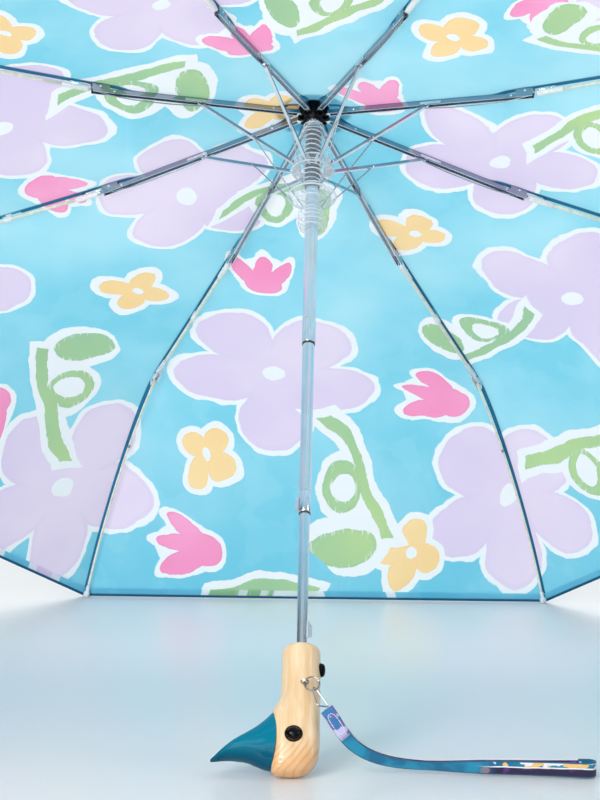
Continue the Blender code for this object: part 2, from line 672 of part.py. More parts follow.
def add_handle():
    place("handle", handle_wood(), "maple", smooth=True)
    place("handle_beak", handle_beak(), "teal_gloss", smooth=True)
    place("eye_front", eye(), "black_gloss", side_of_head(-1), smooth=True)
    place("eye_back", eye(), "black_gloss", side_of_head(1), smooth=True)
    button_axis = Matrix.Translation((0, 0, BUTTON_Z)) @ Matrix.Rotation(math.pi / 2, 4, "Y")
    place("push_button", push_button(), "black_plastic", button_axis, smooth=True)


def add_strap():
    """The fittings and the strap; the ring turns in the screw eye, and the link on the ring."""
    place("screw_eye", screw_eye(), "chrome", smooth=True)
    place_round("strap_ring", strap_ring(), "chrome", SCREW_LOOP)
    place_round("strap_link", strap_link(), "chrome", LINK_TOP)
    place_round("wrist_strap", wrist_strap(), "webbing", LINK_TOP)


def build():
    clear_scene()
    add_tubes()
    add_hub_and_runner()
    add_ribs()
    for index in range(1, RIBS + 1):
        place(f"canopy_gore_{index}", gore(index), "fabric")
    add_handle()
    add_strap()


build()
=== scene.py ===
"""Looks of the open folding umbrella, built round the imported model.

As in the model's source, shapes are drawn in the umbrella's own frame and then leant back: z runs
up the shaft with the hub at 0, +y is the side that faces the floor, and -x is the way the duck
looks. That frame is in millimetres, and LEAN takes it into the scene, which is in metres. The
strap lies on the floor, so it is drawn in the scene's own frame, in metres.
"""

import contextlib
import math

import bmesh
import bpy
import numpy as np
from mathutils import Matrix, Vector


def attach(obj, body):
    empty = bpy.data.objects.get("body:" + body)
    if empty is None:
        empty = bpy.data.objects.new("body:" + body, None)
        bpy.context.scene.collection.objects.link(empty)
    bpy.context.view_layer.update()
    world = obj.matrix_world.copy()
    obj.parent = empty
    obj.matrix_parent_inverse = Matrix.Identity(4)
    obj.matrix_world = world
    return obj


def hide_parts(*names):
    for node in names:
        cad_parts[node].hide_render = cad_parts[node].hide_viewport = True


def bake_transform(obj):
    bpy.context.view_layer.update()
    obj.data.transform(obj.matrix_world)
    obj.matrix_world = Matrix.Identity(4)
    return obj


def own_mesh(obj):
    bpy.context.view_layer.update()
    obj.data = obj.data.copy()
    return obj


MM = 0.001

LEAN_ANGLE = math.radians(-39.3)
LEAN_TURN = Matrix.Rotation(LEAN_ANGLE, 3, "X")
HUB_PLACE = (0.0, 98.75 * MM, 407.13 * MM)
LEAN = Matrix.Translation(HUB_PLACE) @ LEAN_TURN.to_4x4() @ Matrix.Scale(MM, 4)
SHAFT_UP = LEAN_TURN @ Vector((0, 0, 1))

RIBS = 8
RIB_STEP = 2 * math.pi / RIBS

# Each rib is an inner channel, a middle rod and an outer rod. Pins are (distance from the shaft,
# height), angles are from level, and lifts and drops are across the part before.
HUB_PIN = (10, -3)
INNER_ANGLE, INNER_LENGTH, INNER_PIN_LIFT = math.radians(-9.3), 153, 3.4
STRETCHER_ALONG, STRETCHER_DROP = 78.4, -0.8
MIDDLE_ANGLE, MIDDLE_LENGTH, ROD_DROP = math.radians(-3.5), 171.5, -3.0
OUTER_PIN_DROP = -5.6
OUTER_ANGLE, OUTER_LENGTH, OUTER_BOW = math.radians(-39.05), 189.8, 14
MIDDLE_RADIUS, OUTER_RADIUS = 1.25, 0.95
RUNNER_PIN = (13.6, -48)
COLLAR_PIN = (16.0, -72)


def linear(red, green, blue):
    """A colour from its 0 to 255 screen values."""
    out = []
    for value in (red, green, blue):
        v = value / 255
        out.append(v / 12.92 if v <= 0.04045 else ((v + 0.055) / 1.055) ** 2.4)
    return (*out, 1.0)


def on_rib(start, angle, along, lift):
    """A point along a rib part and above it, as (distance from the shaft, height)."""
    return (
        start[0] + along * math.cos(angle) - lift * math.sin(angle),
        start[1] + along * math.sin(angle) + lift * math.cos(angle),
    )


STRETCHER_PIN = on_rib(HUB_PIN, INNER_ANGLE, STRETCHER_ALONG, STRETCHER_DROP)
MIDDLE_PIN = on_rib(HUB_PIN, INNER_ANGLE, INNER_LENGTH, INNER_PIN_LIFT)
OUTER_PIN = on_rib(MIDDLE_PIN, MIDDLE_ANGLE, MIDDLE_LENGTH, OUTER_PIN_DROP)
STRETCHER_ANGLE = math.atan2(STRETCHER_PIN[1] - RUNNER_PIN[1], STRETCHER_PIN[0] - RUNNER_PIN[0])
STRETCHER_LENGTH = math.dist(STRETCHER_PIN, RUNNER_PIN)
RIB_PARTS = {
    "inner_rib": (HUB_PIN, INNER_ANGLE), "middle_rib": (MIDDLE_PIN, MIDDLE_ANGLE),
    "outer_rib": (OUTER_PIN, OUTER_ANGLE), "stretcher": (RUNNER_PIN, STRETCHER_ANGLE),
}


def rib_turn(index):
    """The rib's turn about the shaft."""
    return math.pi / 2 + RIB_STEP * (index - 0.5)


def rib_frame(part, index):
    """The frame of a rib part: x runs along it, and z points to the fabric."""
    (reach, height), angle = RIB_PARTS[part]
    pin = Matrix.Translation((reach, 0, height)) @ Matrix.Rotation(-angle, 4, "Y")
    return LEAN @ Matrix.Rotation(rib_turn(index), 4, "Z") @ pin


# ---------------------------------------------------------------- materials


class Look:
    """A material's nodes, added one at a time."""

    def __init__(self, name, metallic=0.0, roughness=0.5, **sockets):
        self.material = bpy.data.materials.new(name)
        self.material.use_nodes = True
        self.tree = self.material.node_tree
        self.shader = self.tree.nodes["Principled BSDF"]
        self.shader.inputs["Metallic"].default_value = metallic
        self.shader.inputs["Roughness"].default_value = roughness
        for key, value in sockets.items():
            self.shader.inputs[key.replace("_", " ")].default_value = value

    def put(self, socket, value):
        """Links the value to the socket, or sets it there; None leaves the socket alone."""
        if isinstance(value, bpy.types.NodeSocket):
            self.tree.links.new(value, socket)
        elif value is not None:
            socket.default_value = value

    def add(self, kind, inputs=(), output=0, **settings):
        node = self.tree.nodes.new("ShaderNode" + kind)
        for key, value in settings.items():
            setattr(node, key, value)
        if isinstance(inputs, dict):
            for key, value in inputs.items():
                self.put(node.inputs[key], value)
        else:
            for socket, value in zip(node.inputs, inputs):
                self.put(socket, value)
        return node.outputs[output]

    def math(self, operation, *values):
        return self.add("Math", values, operation=operation)

    def times(self, first, second):
        return self.math("MULTIPLY", first, second)

    def vector(self, operation, *values):
        plain = operation in ("LENGTH", "DOT_PRODUCT", "DISTANCE")
        return self.add("VectorMath", values, output=1 if plain else 0, operation=operation)

    def scale(self, value, factor):
        return self.add("VectorMath", {0: value, 3: factor}, operation="SCALE")

    def mix(self, factor, first, second):
        return self.add("Mix", {0: factor, 6: first, 7: second}, output=2, data_type="RGBA")

    def mix_vector(self, factor, first, second):
        return self.add("Mix", {0: factor, 4: first, 5: second}, output=1, data_type="VECTOR")

    def ramp(self, value, low, high, start=0.0, end=1.0):
        """A smooth step from start to end as the value goes from low to high."""
        values = (value, low, high, start, end)
        return self.add("MapRange", values, interpolation_type="SMOOTHSTEP")

    def seen_from(self, vector, x, y, wide, tall, turn):
        """The vector in the frame of a motif at x, y, in units of its two half sizes."""
        values = (vector, (x, y, 0), (0, 0, math.radians(turn)), (wide, tall, 1))
        return self.add("Mapping", values, vector_type="TEXTURE")

    def split(self, value):
        node = self.tree.nodes.new("ShaderNodeSeparateXYZ")
        self.put(node.inputs[0], value)
        return node.outputs

    def join(self, x, y, z=0.0):
        return self.add("CombineXYZ", (x, y, z))

    def noise(self, vector, scale, detail=2.0, output=0):
        return self.add("TexNoise", {"Vector": vector, "Scale": scale, "Detail": detail}, output)

    def place(self):
        """The surface's place in the object's own frame."""
        return self.add("TexCoord", output=3)

    def bump(self, height, distance, strength):
        sockets = {"Height": height, "Distance": distance, "Strength": strength}
        self.put(self.shader.inputs["Normal"], self.add("Bump", sockets))

    def colour(self, value):
        self.put(self.shader.inputs["Base Color"], value)


# Where the printed motifs lie on the cloth, opened out flat round the hub, in millimetres, each
# with its two half sizes and its turn in degrees.
FLOWERS = [
    (-33, 298, 84, 77, 20), (163, 416, 76, 74, 6), (-212, 390, 82, 78, 30), (199, 186, 80, 76, 60),
    (137, 25, 72, 70, 14), (-96, 76, 66, 68, 40), (-225, -24, 76, 70, 10), (-104, -168, 66, 64, 55),
    (-288, 180, 70, 70, 0), (60, -300, 80, 76, 33), (250, -190, 78, 74, 12), (-230, -300, 80, 78, 48),
    (390, 60, 76, 76, 22), (-400, 60, 74, 76, 50), (200, -420, 78, 76, 5), (-60, -450, 78, 74, 66),
    (-400, -150, 70, 72, 26), (330, 300, 72, 74, 44), (400, -280, 60, 66, 8),
]
TULIPS = [
    (-196, 66, 24, 26, -60), (-40, 180, 26, 30, 175), (-107, 456, 27, 32, 95), (98, 330, 27, 33, 110),
    (48, -34, 26, 26, 150), (-49, -108, 26, 26, 160), (-272, 300, 28, 30, 40), (162, -168, 26, 28, 20),
    (300, 130, 26, 30, 80), (-320, -60, 26, 28, 10), (20, -400, 28, 30, 60), (320, -60, 26, 30, 130),
    (-150, -400, 26, 28, 200), (290, 400, 26, 28, 30), (-400, 270, 26, 28, 70), (330, -390, 26, 28, 0),
]
YELLOWS = [
    (-139, 196, 30, 30, 20), (-88, 384, 27, 27, 30), (72, 124, 27, 27, 10), (78, 460, 28, 30, 15),
    (98, -124, 27, 27, 25), (-32, -8, 27, 26, 40), (-214, -132, 27, 27, 0), (290, 230, 26, 26, 50),
    (-120, -330, 28, 28, 35), (160, -290, 27, 27, 5), (-340, 150, 27, 27, 60), (330, -170, 27, 27, 45),
    (-330, -260, 27, 27, 15), (110, -500, 26, 26, 20), (-470, -20, 26, 26, 30), (470, 140, 26, 26, 30),
]
LEAVES = [
    (-126, -62, 62, 54, 278), (13, -154, 56, 50, 80), (-26, 88, 54, 46, 282), (33, 408, 60, 64, 0),
    (-207, 298, 54, 62, 202), (134, 250, 50, 47, 60), (206, -22, 56, 52, 262), (228, 352, 56, 56, 262),
    (-40, 500, 60, 54, 300), (196, -130, 50, 48, 130), (-262, 90, 50, 46, 20), (-20, -250, 54, 50, 60),
    (300, -280, 56, 50, 100), (-160, -230, 54, 48, 20), (-330, -380, 54, 50, 60), (60, -380, 50, 48, 220),
    (370, 190, 56, 50, 80), (-370, 370, 56, 50, 20), (-480, 160, 50, 48, 90), (480, -90, 54, 50, 60),
    (-490, -150, 50, 46, 70),
]

BLUE, BLUE_PALE, BLUE_DEEP = linear(128, 212, 233), linear(172, 230, 244), linear(104, 198, 224)
LILAC, LILAC_DEEP = linear(236, 224, 243), linear(218, 206, 236)
HALO = linear(240, 246, 249)
PINK, PINK_DEEP = linear(255, 178, 218), linear(246, 132, 184)
YELLOW, YELLOW_DEEP = linear(254, 226, 172), linear(250, 212, 148)
GREEN, GREEN_DEEP = linear(186, 217, 154), linear(148, 196, 162)
TEAL = linear(0, 108, 148)


def nearest(n, point, places):
    """The point as seen from the motif that it is nearest to, in that motif's own size."""
    best, vector = None, None
    for x, y, wide, tall, turn in places:
        own = n.seen_from(point, x * MM, y * MM, wide * MM, tall * MM, turn)
        away = n.vector("LENGTH", own)
        if vector is None:
            best, vector = away, own
            continue
        closer = n.math("LESS_THAN", away, best)
        vector = n.mix_vector(closer, vector, own)
        best = n.math("MINIMUM", away, best)
    return vector


def oval(n, vector, x, y, wide, tall, turn=0.0):
    """1 on the outline of an oval, less inside it and more outside."""
    return n.vector("LENGTH", n.seen_from(vector, x, y, wide, tall, turn))


def folded(n, vector, petals):
    """The vector turned into the one petal's sector that lies along x."""
    x, y, _ = n.split(vector)
    half = math.pi / petals
    angle = n.math("WRAP", n.math("ARCTAN2", y, x), half, -half)
    away = n.vector("LENGTH", vector)
    return n.join(n.times(away, n.math("COSINE", angle)), n.times(away, n.math("SINE", angle)))


def mirrored(n, vector):
    """The vector with its left half laid over the right."""
    x, y, _ = n.split(vector)
    return n.join(n.math("ABSOLUTE", x), y)


def stroke(n, vector, x, y, radius, half):
    """1 at the edge of a round brush stroke of that radius, and less along its middle."""
    away = n.vector("DISTANCE", vector, (x, y, 0))
    off = n.math("ABSOLUTE", n.math("SUBTRACT", away, radius))
    return n.math("DIVIDE", off, half)


def lowest(n, *values):
    """The least of the edge values, so the shapes together."""
    out = values[0]
    for value in values[1:]:
        out = n.math("MINIMUM", out, value)
    return out


# A leaf's curved stem: the centre and radius of its arc, in the leaf's own size.
STEM_ARC = (-3.365, 1.71, 4.0)


def motif_shapes(n, point):
    """Each kind of motif: its edge value and its halo's, its two colours and its pale centre."""
    flower = nearest(n, point, FLOWERS)
    sector = folded(n, flower, 5)
    petal = lowest(n, oval(n, sector, 0.58, 0, 0.42, 0.335), oval(n, sector, 0, 0, 0.42, 0.42))
    centre = oval(n, flower, 0.0, 0.02, 0.105, 0.125)
    yield petal, n.times(petal, 0.87), LILAC, LILAC_DEEP, centre

    tulip = n.scale(mirrored(n, nearest(n, point, TULIPS)), 1.08)
    petals = lowest(
        n,
        oval(n, tulip, 0.0, 0.24, 0.28, 0.74),
        oval(n, tulip, 0.50, 0.14, 0.28, 0.74, -28),
        oval(n, tulip, 0.0, -0.36, 0.58, 0.48),
    )
    halo = lowest(n, n.times(petals, 0.76), oval(n, tulip, 0.0, 0.06, 0.84, 0.94))
    yield petals, halo, PINK, PINK_DEEP, None

    yellow = nearest(n, point, YELLOWS)
    square = oval(n, folded(n, yellow, 4), 0.52, 0, 0.44, 0.36)
    centre = oval(n, yellow, 0, 0, 0.17, 0.13, 40)
    yield square, n.times(square, 0.66), YELLOW, YELLOW_DEEP, centre

    leaf = nearest(n, point, LEAVES)
    _, y, _ = n.split(leaf)
    from_start = n.math("ABSOLUTE", n.math("ADD", y, 0.2))
    stem = stroke(n, leaf, *STEM_ARC, 0.08)
    stem = n.math("MAXIMUM", stem, n.math("MULTIPLY_ADD", from_start, 12.5, -9.0))
    hole = n.math("SUBTRACT", 2.0, oval(n, leaf, -0.17, -0.05, 0.23, 0.17))
    ring = n.math("MAXIMUM", oval(n, leaf, -0.19, -0.05, 0.34, 0.32), hole)
    shape = lowest(n, stem, ring, oval(n, leaf, -0.14, 0.71, 0.47, 0.24, -10))
    beside = stroke(n, leaf, *STEM_ARC, 0.19)
    beside = n.math("MAXIMUM", beside, n.math("MULTIPLY_ADD", from_start, 6.0, -4.5))
    halo = lowest(
        n,
        beside,
        oval(n, leaf, -0.12, -0.04, 0.50, 0.46),
        oval(n, leaf, -0.10, 0.68, 0.62, 0.38),
        oval(n, leaf, 0.06, 0.34, 0.42, 0.42),
    )
    yield shape, halo, GREEN, GREEN_DEEP, None


def printed(n, point):
    """The whole print: a watercolour ground with each motif in its white halo."""
    wander = n.noise(point, 14.0, 2.0, output=1)
    rough = n.noise(point, 170.0, 3.0, output=1)
    shift = n.vector("ADD", n.scale(wander, 0.030), n.scale(rough, 0.0022))
    bent = n.vector("ADD", point, n.vector("SUBTRACT", shift, (0.0161, 0.0161, 0.0161)))
    bent = n.join(*n.split(bent)[:2])
    wash = n.noise(point, 6.5, 3.0)
    blot = n.noise(point, 30.0, 4.0)
    ground = n.mix(n.ramp(wash, 0.36, 0.66), BLUE, BLUE_PALE)
    out = n.vector("LENGTH", point)
    ground = n.mix(n.ramp(out, 0.30, 0.54, 0.0, 0.75), ground, BLUE_DEEP)
    ground = n.mix(n.ramp(blot, 0.50, 0.56, 0.0, 0.13), ground, BLUE_PALE)
    streak = n.noise(n.add("Mapping", (point, (0, 0, 0), (0, 0, 0.6), (380, 60, 1))), 1.0, 3.0)
    colour = ground
    for edge, halo, light, deep, centre in motif_shapes(n, bent):
        wobble = n.math("MULTIPLY_ADD", n.noise(point, 55.0, 1.0), 0.16, -0.08)
        colour = n.mix(n.ramp(n.math("ADD", halo, wobble), 0.985, 1.015, 1.0, 0.0), colour, HALO)
        tint = n.mix(n.ramp(wash, 0.34, 0.7, 0.75, 0.0), light, deep)
        tint = n.mix(n.ramp(edge, 0.82, 1.0, 0.0, 0.35), tint, deep)
        if light is GREEN:
            dry = n.times(n.ramp(streak, 0.55, 0.62), n.ramp(edge, 0.75, 1.0, 0.0, 0.7))
            tint = n.mix(dry, tint, HALO)
        colour = n.mix(n.ramp(edge, 0.98, 1.02, 1.0, 0.0), colour, tint)
        if centre is not None:
            colour = n.mix(n.ramp(centre, 0.96, 1.04, 1.0, 0.0), colour, HALO)
    return colour


def waves(n, value, rate):
    """A sine wave across the surface, with `rate` as its radians a metre."""
    return n.math("SINE", n.times(value, rate))


def fabric_look():
    """Thin printed polyester: the print, dark seams and hem, a fine weave, and light through it."""
    n = Look("canopy_print", roughness=0.72, Sheen_Weight=0.15, Sheen_Roughness=0.4)
    point = n.add("UVMap", uv_map="print")
    colour = printed(n, point)
    seam, hem, _ = n.split(n.add("UVMap", uv_map="edges"))
    by_seam = n.ramp(seam, 1.0 * MM, 1.9 * MM, 0.85, 0.0)
    by_hem = n.ramp(hem, 1.5 * MM, 2.3 * MM, 1.0, 0.0)
    colour = n.mix(n.math("MAXIMUM", by_seam, by_hem), colour, TEAL)
    n.colour(colour)
    weave = n.times(*[waves(n, value, 9000.0) for value in n.split(point)[:2]])
    crease = n.noise(point, 22.0, 3.0)
    n.bump(n.math("MULTIPLY_ADD", weave, 0.05, crease), 0.9 * MM, 0.55)
    through = n.add("BsdfTranslucent", (colour,))
    both = n.add("MixShader", (0.5, n.shader.outputs[0], through))
    n.put(n.tree.nodes["Material Output"].inputs["Surface"], both)
    return n.material


def seam_look():
    """Dark teal tape with a soft nap."""
    n = Look("seam_tape", roughness=0.8)
    grain = n.noise(n.place(), 900.0, 2.0)
    n.colour(n.mix(grain, linear(0, 92, 132), linear(30, 130, 168)))
    n.bump(grain, 0.2 * MM, 0.5)
    return n.material


def metal_look(name, colour, roughness, stretch=(1, 1, 1), deep=0.85, sides=None):
    """Metal with fine drawn lines and slight staining, and, if `sides` is given, painted shade in that colour
    on faces whose normals lie across the shaft.
    """
    n = Look(name, metallic=1.0, roughness=roughness)
    lines = n.noise(n.vector("MULTIPLY", n.place(), stretch), 900.0, 2.0)
    stain = n.noise(n.place(), 60.0, 3.0)
    bright = linear(*colour)
    dull = (*(value * deep for value in bright[:3]), 1.0)
    colour = n.mix(n.ramp(stain, 0.4, 0.65), bright, dull)
    # Painted shade: faces whose normals lie across the shaft's axis take the darker sides colour.
    if sides:
        facing = n.vector("DOT_PRODUCT", n.add("TexCoord", output=1), SHAFT_UP[:])
        colour = n.mix(n.ramp(n.math("ABSOLUTE", facing), 0.25, 0.75), linear(*sides), colour)
    n.colour(colour)
    n.put(n.shader.inputs["Roughness"], n.ramp(lines, 0.2, 0.8, roughness * 0.75, roughness * 1.3))
    n.bump(lines, 0.03 * MM, 0.4)
    return n.material


def plastic_look(name, colour, deep, roughness, grain=500.0, **sockets):
    """A mottled, slightly uneven surface between two near colours."""
    n = Look(name, roughness=roughness, **sockets)
    mottle = n.noise(n.place(), grain, 3.0)
    n.colour(n.mix(n.ramp(mottle, 0.35, 0.65), linear(*colour), linear(*deep)))
    n.bump(mottle, 0.05 * MM, 0.3)
    n.put(n.shader.inputs["Roughness"], n.ramp(mottle, 0.3, 0.7, roughness * 0.8, roughness * 1.25))
    return n.material


def clear_look(name, colour, roughness, alpha):
    """Clear plastic, a little cloudy."""
    n = Look(name, roughness=roughness, IOR=1.46, Alpha=alpha)
    cloud = n.noise(n.place(), 160.0, 2.0)
    n.colour(n.mix(cloud, linear(*colour), linear(238, 244, 248)))
    n.bump(cloud, 0.1 * MM, 0.3)
    return n.material


def wood_look():
    """Maple, pale and lacquered, with its grain down the neck."""
    n = Look("handle_wood", roughness=0.38, Coat_Weight=0.7, Coat_Roughness=0.12)
    own = own_frame(n)
    flat = n.vector("MULTIPLY", own, (1.0, 1.0, 0.10))
    sway = n.noise(flat, 60.0, 2.0, output=1)
    rings = n.noise(n.vector("ADD", flat, n.scale(sway, 0.006)), 190.0, 3.0)
    fine = n.noise(n.vector("MULTIPLY", own, (1.0, 1.0, 0.035)), 1500.0, 3.0)
    colour = n.mix(n.ramp(rings, 0.38, 0.68), linear(244, 216, 174), linear(232, 194, 146))
    colour = n.mix(n.ramp(fine, 0.50, 0.72, 0.0, 0.45), colour, linear(222, 178, 126))
    low = n.ramp(n.split(own)[2], -0.521, -0.493, 0.8, 0.0)
    colour = n.mix(low, colour, linear(226, 170, 112))
    arc_centre = (-20.0 * MM, 0.0, -492.0 * MM)
    away = n.vector("DISTANCE", n.vector("ADD", own, n.scale(sway, 0.004)), arc_centre)
    arcs = n.times(n.ramp(waves(n, away, 2100.0), 0.1, 0.9, 0.0, 0.55), n.ramp(low, 0.02, 0.5))
    n.colour(n.mix(arcs, colour, linear(206, 150, 92)))
    n.bump(fine, 0.06 * MM, 0.35)
    return n.material


def own_frame(n):
    """The surface's place in the umbrella's own frame, in metres."""
    values = (n.place(), HUB_PLACE, (LEAN_ANGLE, 0, 0), (1, 1, 1))
    return n.add("Mapping", values, vector_type="TEXTURE")


def beak_look():
    """Glossy teal paint, with painted shade that makes it darker below."""
    n = Look("beak_paint", roughness=0.10, IOR=1.22)
    # Painted shade: the teal darkens towards the bottom of the beak.
    height = n.split(own_frame(n))[2]
    colour = n.mix(n.ramp(height, -0.5135, -0.503), linear(0, 80, 106), linear(0, 116, 142))
    fleck = n.noise(n.place(), 1400.0, 2.0)
    n.colour(n.mix(n.ramp(fleck, 0.55, 0.75, 0.0, 0.2), colour, linear(10, 140, 168)))
    n.bump(n.noise(n.place(), 90.0, 2.0), 0.06 * MM, 0.25)
    return n.material


def strap_look():
    """Woven strap: blue with yellow and white marks outside, and dark purple inside."""
    n = Look("strap_print", roughness=0.75, Sheen_Weight=0.2)
    along, across, _ = n.split(n.add("UVMap", uv_map="strap"))
    point = n.join(along, across)
    patch = n.noise(point, 52.0, 2.0)
    spot = n.noise(n.vector("ADD", point, (3.1, 0, 0)), 75.0, 2.0)
    flick = n.noise(n.vector("ADD", point, (7.7, 0, 0)), 95.0, 2.0)
    colour = n.mix(n.ramp(patch, 0.42, 0.6), linear(0, 104, 144), linear(20, 140, 176))
    far = n.ramp(along, 0.110, 0.126)
    printed_far = n.mix(n.ramp(spot, 0.56, 0.59), colour, linear(240, 196, 120))
    printed_far = n.mix(n.ramp(flick, 0.57, 0.60), printed_far, linear(238, 240, 242))
    colour = n.mix(far, colour, printed_far)
    wander = n.math("MULTIPLY_ADD", n.noise(point, 60.0), 0.002, -0.001)
    from_fold = n.math("SUBTRACT", n.math("ADD", across, wander), 0.9 * MM)
    low = n.ramp(from_fold, -0.3 * MM, 0.3 * MM, 1.0, 0.0)
    white = n.ramp(n.math("ABSOLUTE", from_fold), 0.3 * MM, 0.7 * MM, 1.0, 0.0)
    lower = n.mix(white, n.mix(n.ramp(spot, 0.5, 0.6), linear(34, 22, 64), linear(92, 44, 120)), HALO)
    colour = n.mix(n.times(n.math("MAXIMUM", low, white), far), colour, lower)
    inner = n.mix(n.ramp(spot, 0.55, 0.6), linear(52, 40, 96), linear(110, 70, 150))
    band = n.ramp(n.math("ABSOLUTE", across), 4.2 * MM, 4.7 * MM)
    colour = n.mix(band, colour, linear(10, 92, 130))
    inner = n.mix(band, inner, linear(230, 232, 238))
    n.colour(n.mix(n.math("GREATER_THAN", along, 0.205), colour, inner))
    twill = waves(n, n.math("ADD", along, across), 5200.0)
    n.bump(n.times(twill, waves(n, across, 6000.0)), 0.18 * MM, 0.6)
    return n.material


def tab_look():
    """The strap's sewn tab, in patches of purple and blue."""
    n = Look("strap_tab", roughness=0.75, Sheen_Weight=0.2)
    patch = n.noise(n.place(), 150.0, 2.0)
    colour = n.mix(n.ramp(patch, 0.44, 0.56), linear(120, 92, 170), linear(34, 118, 168))
    n.colour(n.mix(n.ramp(n.noise(n.place(), 90.0), 0.58, 0.62), colour, linear(196, 190, 224)))
    n.bump(n.noise(n.place(), 1800.0, 2.0), 0.2 * MM, 0.5)
    return n.material


# ---------------------------------------------------------------- mesh helpers



def linked(name, data):
    """A new object in the scene, made of the mesh, camera or light."""
    made = bpy.data.objects.new(name, data)
    bpy.context.scene.collection.objects.link(made)
    return made


def thing(name, mesh, look, smooth=True):
    """A new object with its material and shading."""
    made = linked(name, mesh)
    mesh.materials.clear()
    mesh.materials.append(look)
    for face in mesh.polygons:
        face.use_smooth = smooth
    return made


@contextlib.contextmanager
def reworked(mesh):
    """The mesh opened for editing, and written back at the end."""
    work = bmesh.new()
    work.from_mesh(mesh)
    yield work
    work.to_mesh(mesh)
    work.free()


def mesh_of(name, verts, faces):
    made = bpy.data.meshes.new(name)
    made.from_pydata([tuple(v) for v in verts], [], faces)
    with reworked(made) as work:
        bmesh.ops.recalc_face_normals(work, faces=work.faces)
    return made


def loops_mesh(name, loops, ring=False):
    """A skin over loops of equally many points: closed on itself, or capped at both ends."""
    count = len(loops[0])
    verts = [v for loop in loops for v in loop]
    faces = []
    for i in range(len(loops) if ring else len(loops) - 1):
        a, b = i * count, (i + 1) % len(loops) * count
        faces += [(a + k, a + (k + 1) % count, b + (k + 1) % count, b + k) for k in range(count)]
    if not ring:
        last = (len(loops) - 1) * count
        faces += [tuple(range(count)), tuple(last + k for k in range(count))]
    return mesh_of(name, verts, faces)


def circle(radius, steps):
    turns = (2 * math.pi * k / steps for k in range(steps))
    return [(radius * math.cos(a), radius * math.sin(a)) for a in turns]


def sweep(name, path, outline, closed=False, up=None):
    """The outline carried along the path; its second axis keeps as near as it can to `up`."""
    loops, side = [], None
    count = len(path)
    for i, point in enumerate(path):
        before = path[i - 1] if closed or i else point
        after = path[(i + 1) % count] if closed or i < count - 1 else point
        along = (after - before).normalized()
        if up is not None:
            side = along.cross(up).normalized()
        elif side is None:
            side = along.orthogonal().normalized()
        side = (side - along * side.dot(along)).normalized()
        over = side.cross(along)
        loops.append([point + side * u + over * v for u, v in outline])
    return loops_mesh(name, loops, ring=closed)


def turned(name, outline, steps, axis="Z", at=(0, 0, 0)):
    """A solid of revolution from (radius, distance) points, its axis along z, x or y."""
    mesh = loops_mesh(name, [[(u, v, h) for u, v in circle(r, steps)] for r, h in outline])
    if axis == "X":
        mesh.transform(Matrix.Rotation(math.radians(90), 4, "Y"))
    if axis == "Y":
        mesh.transform(Matrix.Rotation(math.radians(-90), 4, "X"))
    mesh.transform(Matrix.Translation(at))
    return mesh


def hollow(name, outline, steps=32):
    """The closed outline, as (radius, height) points, turned about the z axis."""
    loops = [[(r * u, r * v, z) for r, z in outline] for u, v in circle(1, steps)]
    return loops_mesh(name, loops, ring=True)


def block(name, low, high, bevel):
    """A box with rounded edges."""
    x, y, z = zip(low, high)
    verts = [(x[i], y[j], z[k]) for i in (0, 1) for j in (0, 1) for k in (0, 1)]
    faces = [(0, 1, 3, 2), (4, 6, 7, 5), (0, 4, 5, 1), (2, 3, 7, 6), (0, 2, 6, 4), (1, 5, 7, 3)]
    mesh = mesh_of(name, verts, faces)
    with reworked(mesh) as work:
        edges = work.edges[:]
        bmesh.ops.bevel(work, geom=edges, offset=bevel, segments=2, affect="EDGES", profile=0.5)
    return mesh


def gather(name, *meshes):
    """Several closed bodies in one mesh."""
    made = bpy.data.meshes.new(name)
    with reworked(made) as work:
        for mesh in meshes:
            work.from_mesh(mesh)
    return made


def cut(name, first, *others):
    """One mesh less the others, by exact Booleans."""
    base = linked(name, first)
    helpers = []
    for i, other in enumerate(others):
        helpers.append(linked(f"{name}_helper_{i}", other))
        change = base.modifiers.new(f"change_{i}", "BOOLEAN")
        change.operation, change.object, change.solver = "DIFFERENCE", helpers[-1], "EXACT"
    graph = bpy.context.evaluated_depsgraph_get()
    made = bpy.data.meshes.new_from_object(base.evaluated_get(graph))
    for item in [base, *helpers]:
        bpy.data.objects.remove(item)
    return made


def smooth_line(points, steps):
    """A curve through the points, with `steps` pieces between each pair."""
    out = []
    for i in range(len(points) - 1):
        a, b = Vector(points[max(i - 1, 0)]), Vector(points[i])
        c, d = Vector(points[i + 1]), Vector(points[min(i + 2, len(points) - 1)])
        for k in range(steps):
            t = k / steps
            bend = 2 * a - 5 * b + 4 * c - d
            twist = 3 * b - a - 3 * c + d
            out.append(0.5 * (2 * b + (c - a) * t + bend * t * t + twist * t**3))
    return [*out, Vector(points[-1])]


def running(path):
    """The distance along the path at each of its points."""
    out = [0.0]
    for a, b in zip(path, path[1:]):
        out.append(out[-1] + (b - a).length)
    return out


def on_each_rib(name, mesh, part, look, smooth=True):
    """A copy of the mesh on every rib, riding on that rib's own part."""
    made = []
    for index in range(1, RIBS + 1):
        copy = mesh.copy()
        copy.transform(rib_frame(part, index))
        piece = thing(f"{name}_{index}", copy, look, smooth)
        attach(piece, f"{part}_{index}")
        made.append(piece)
    return made


def on_shaft(name, mesh, body, look, smooth=True):
    """The mesh leant back with the shaft, riding on one of its parts."""
    mesh.transform(LEAN)
    piece = thing(name, mesh, look, smooth)
    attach(piece, body)
    return piece


# ---------------------------------------------------------------- canopy

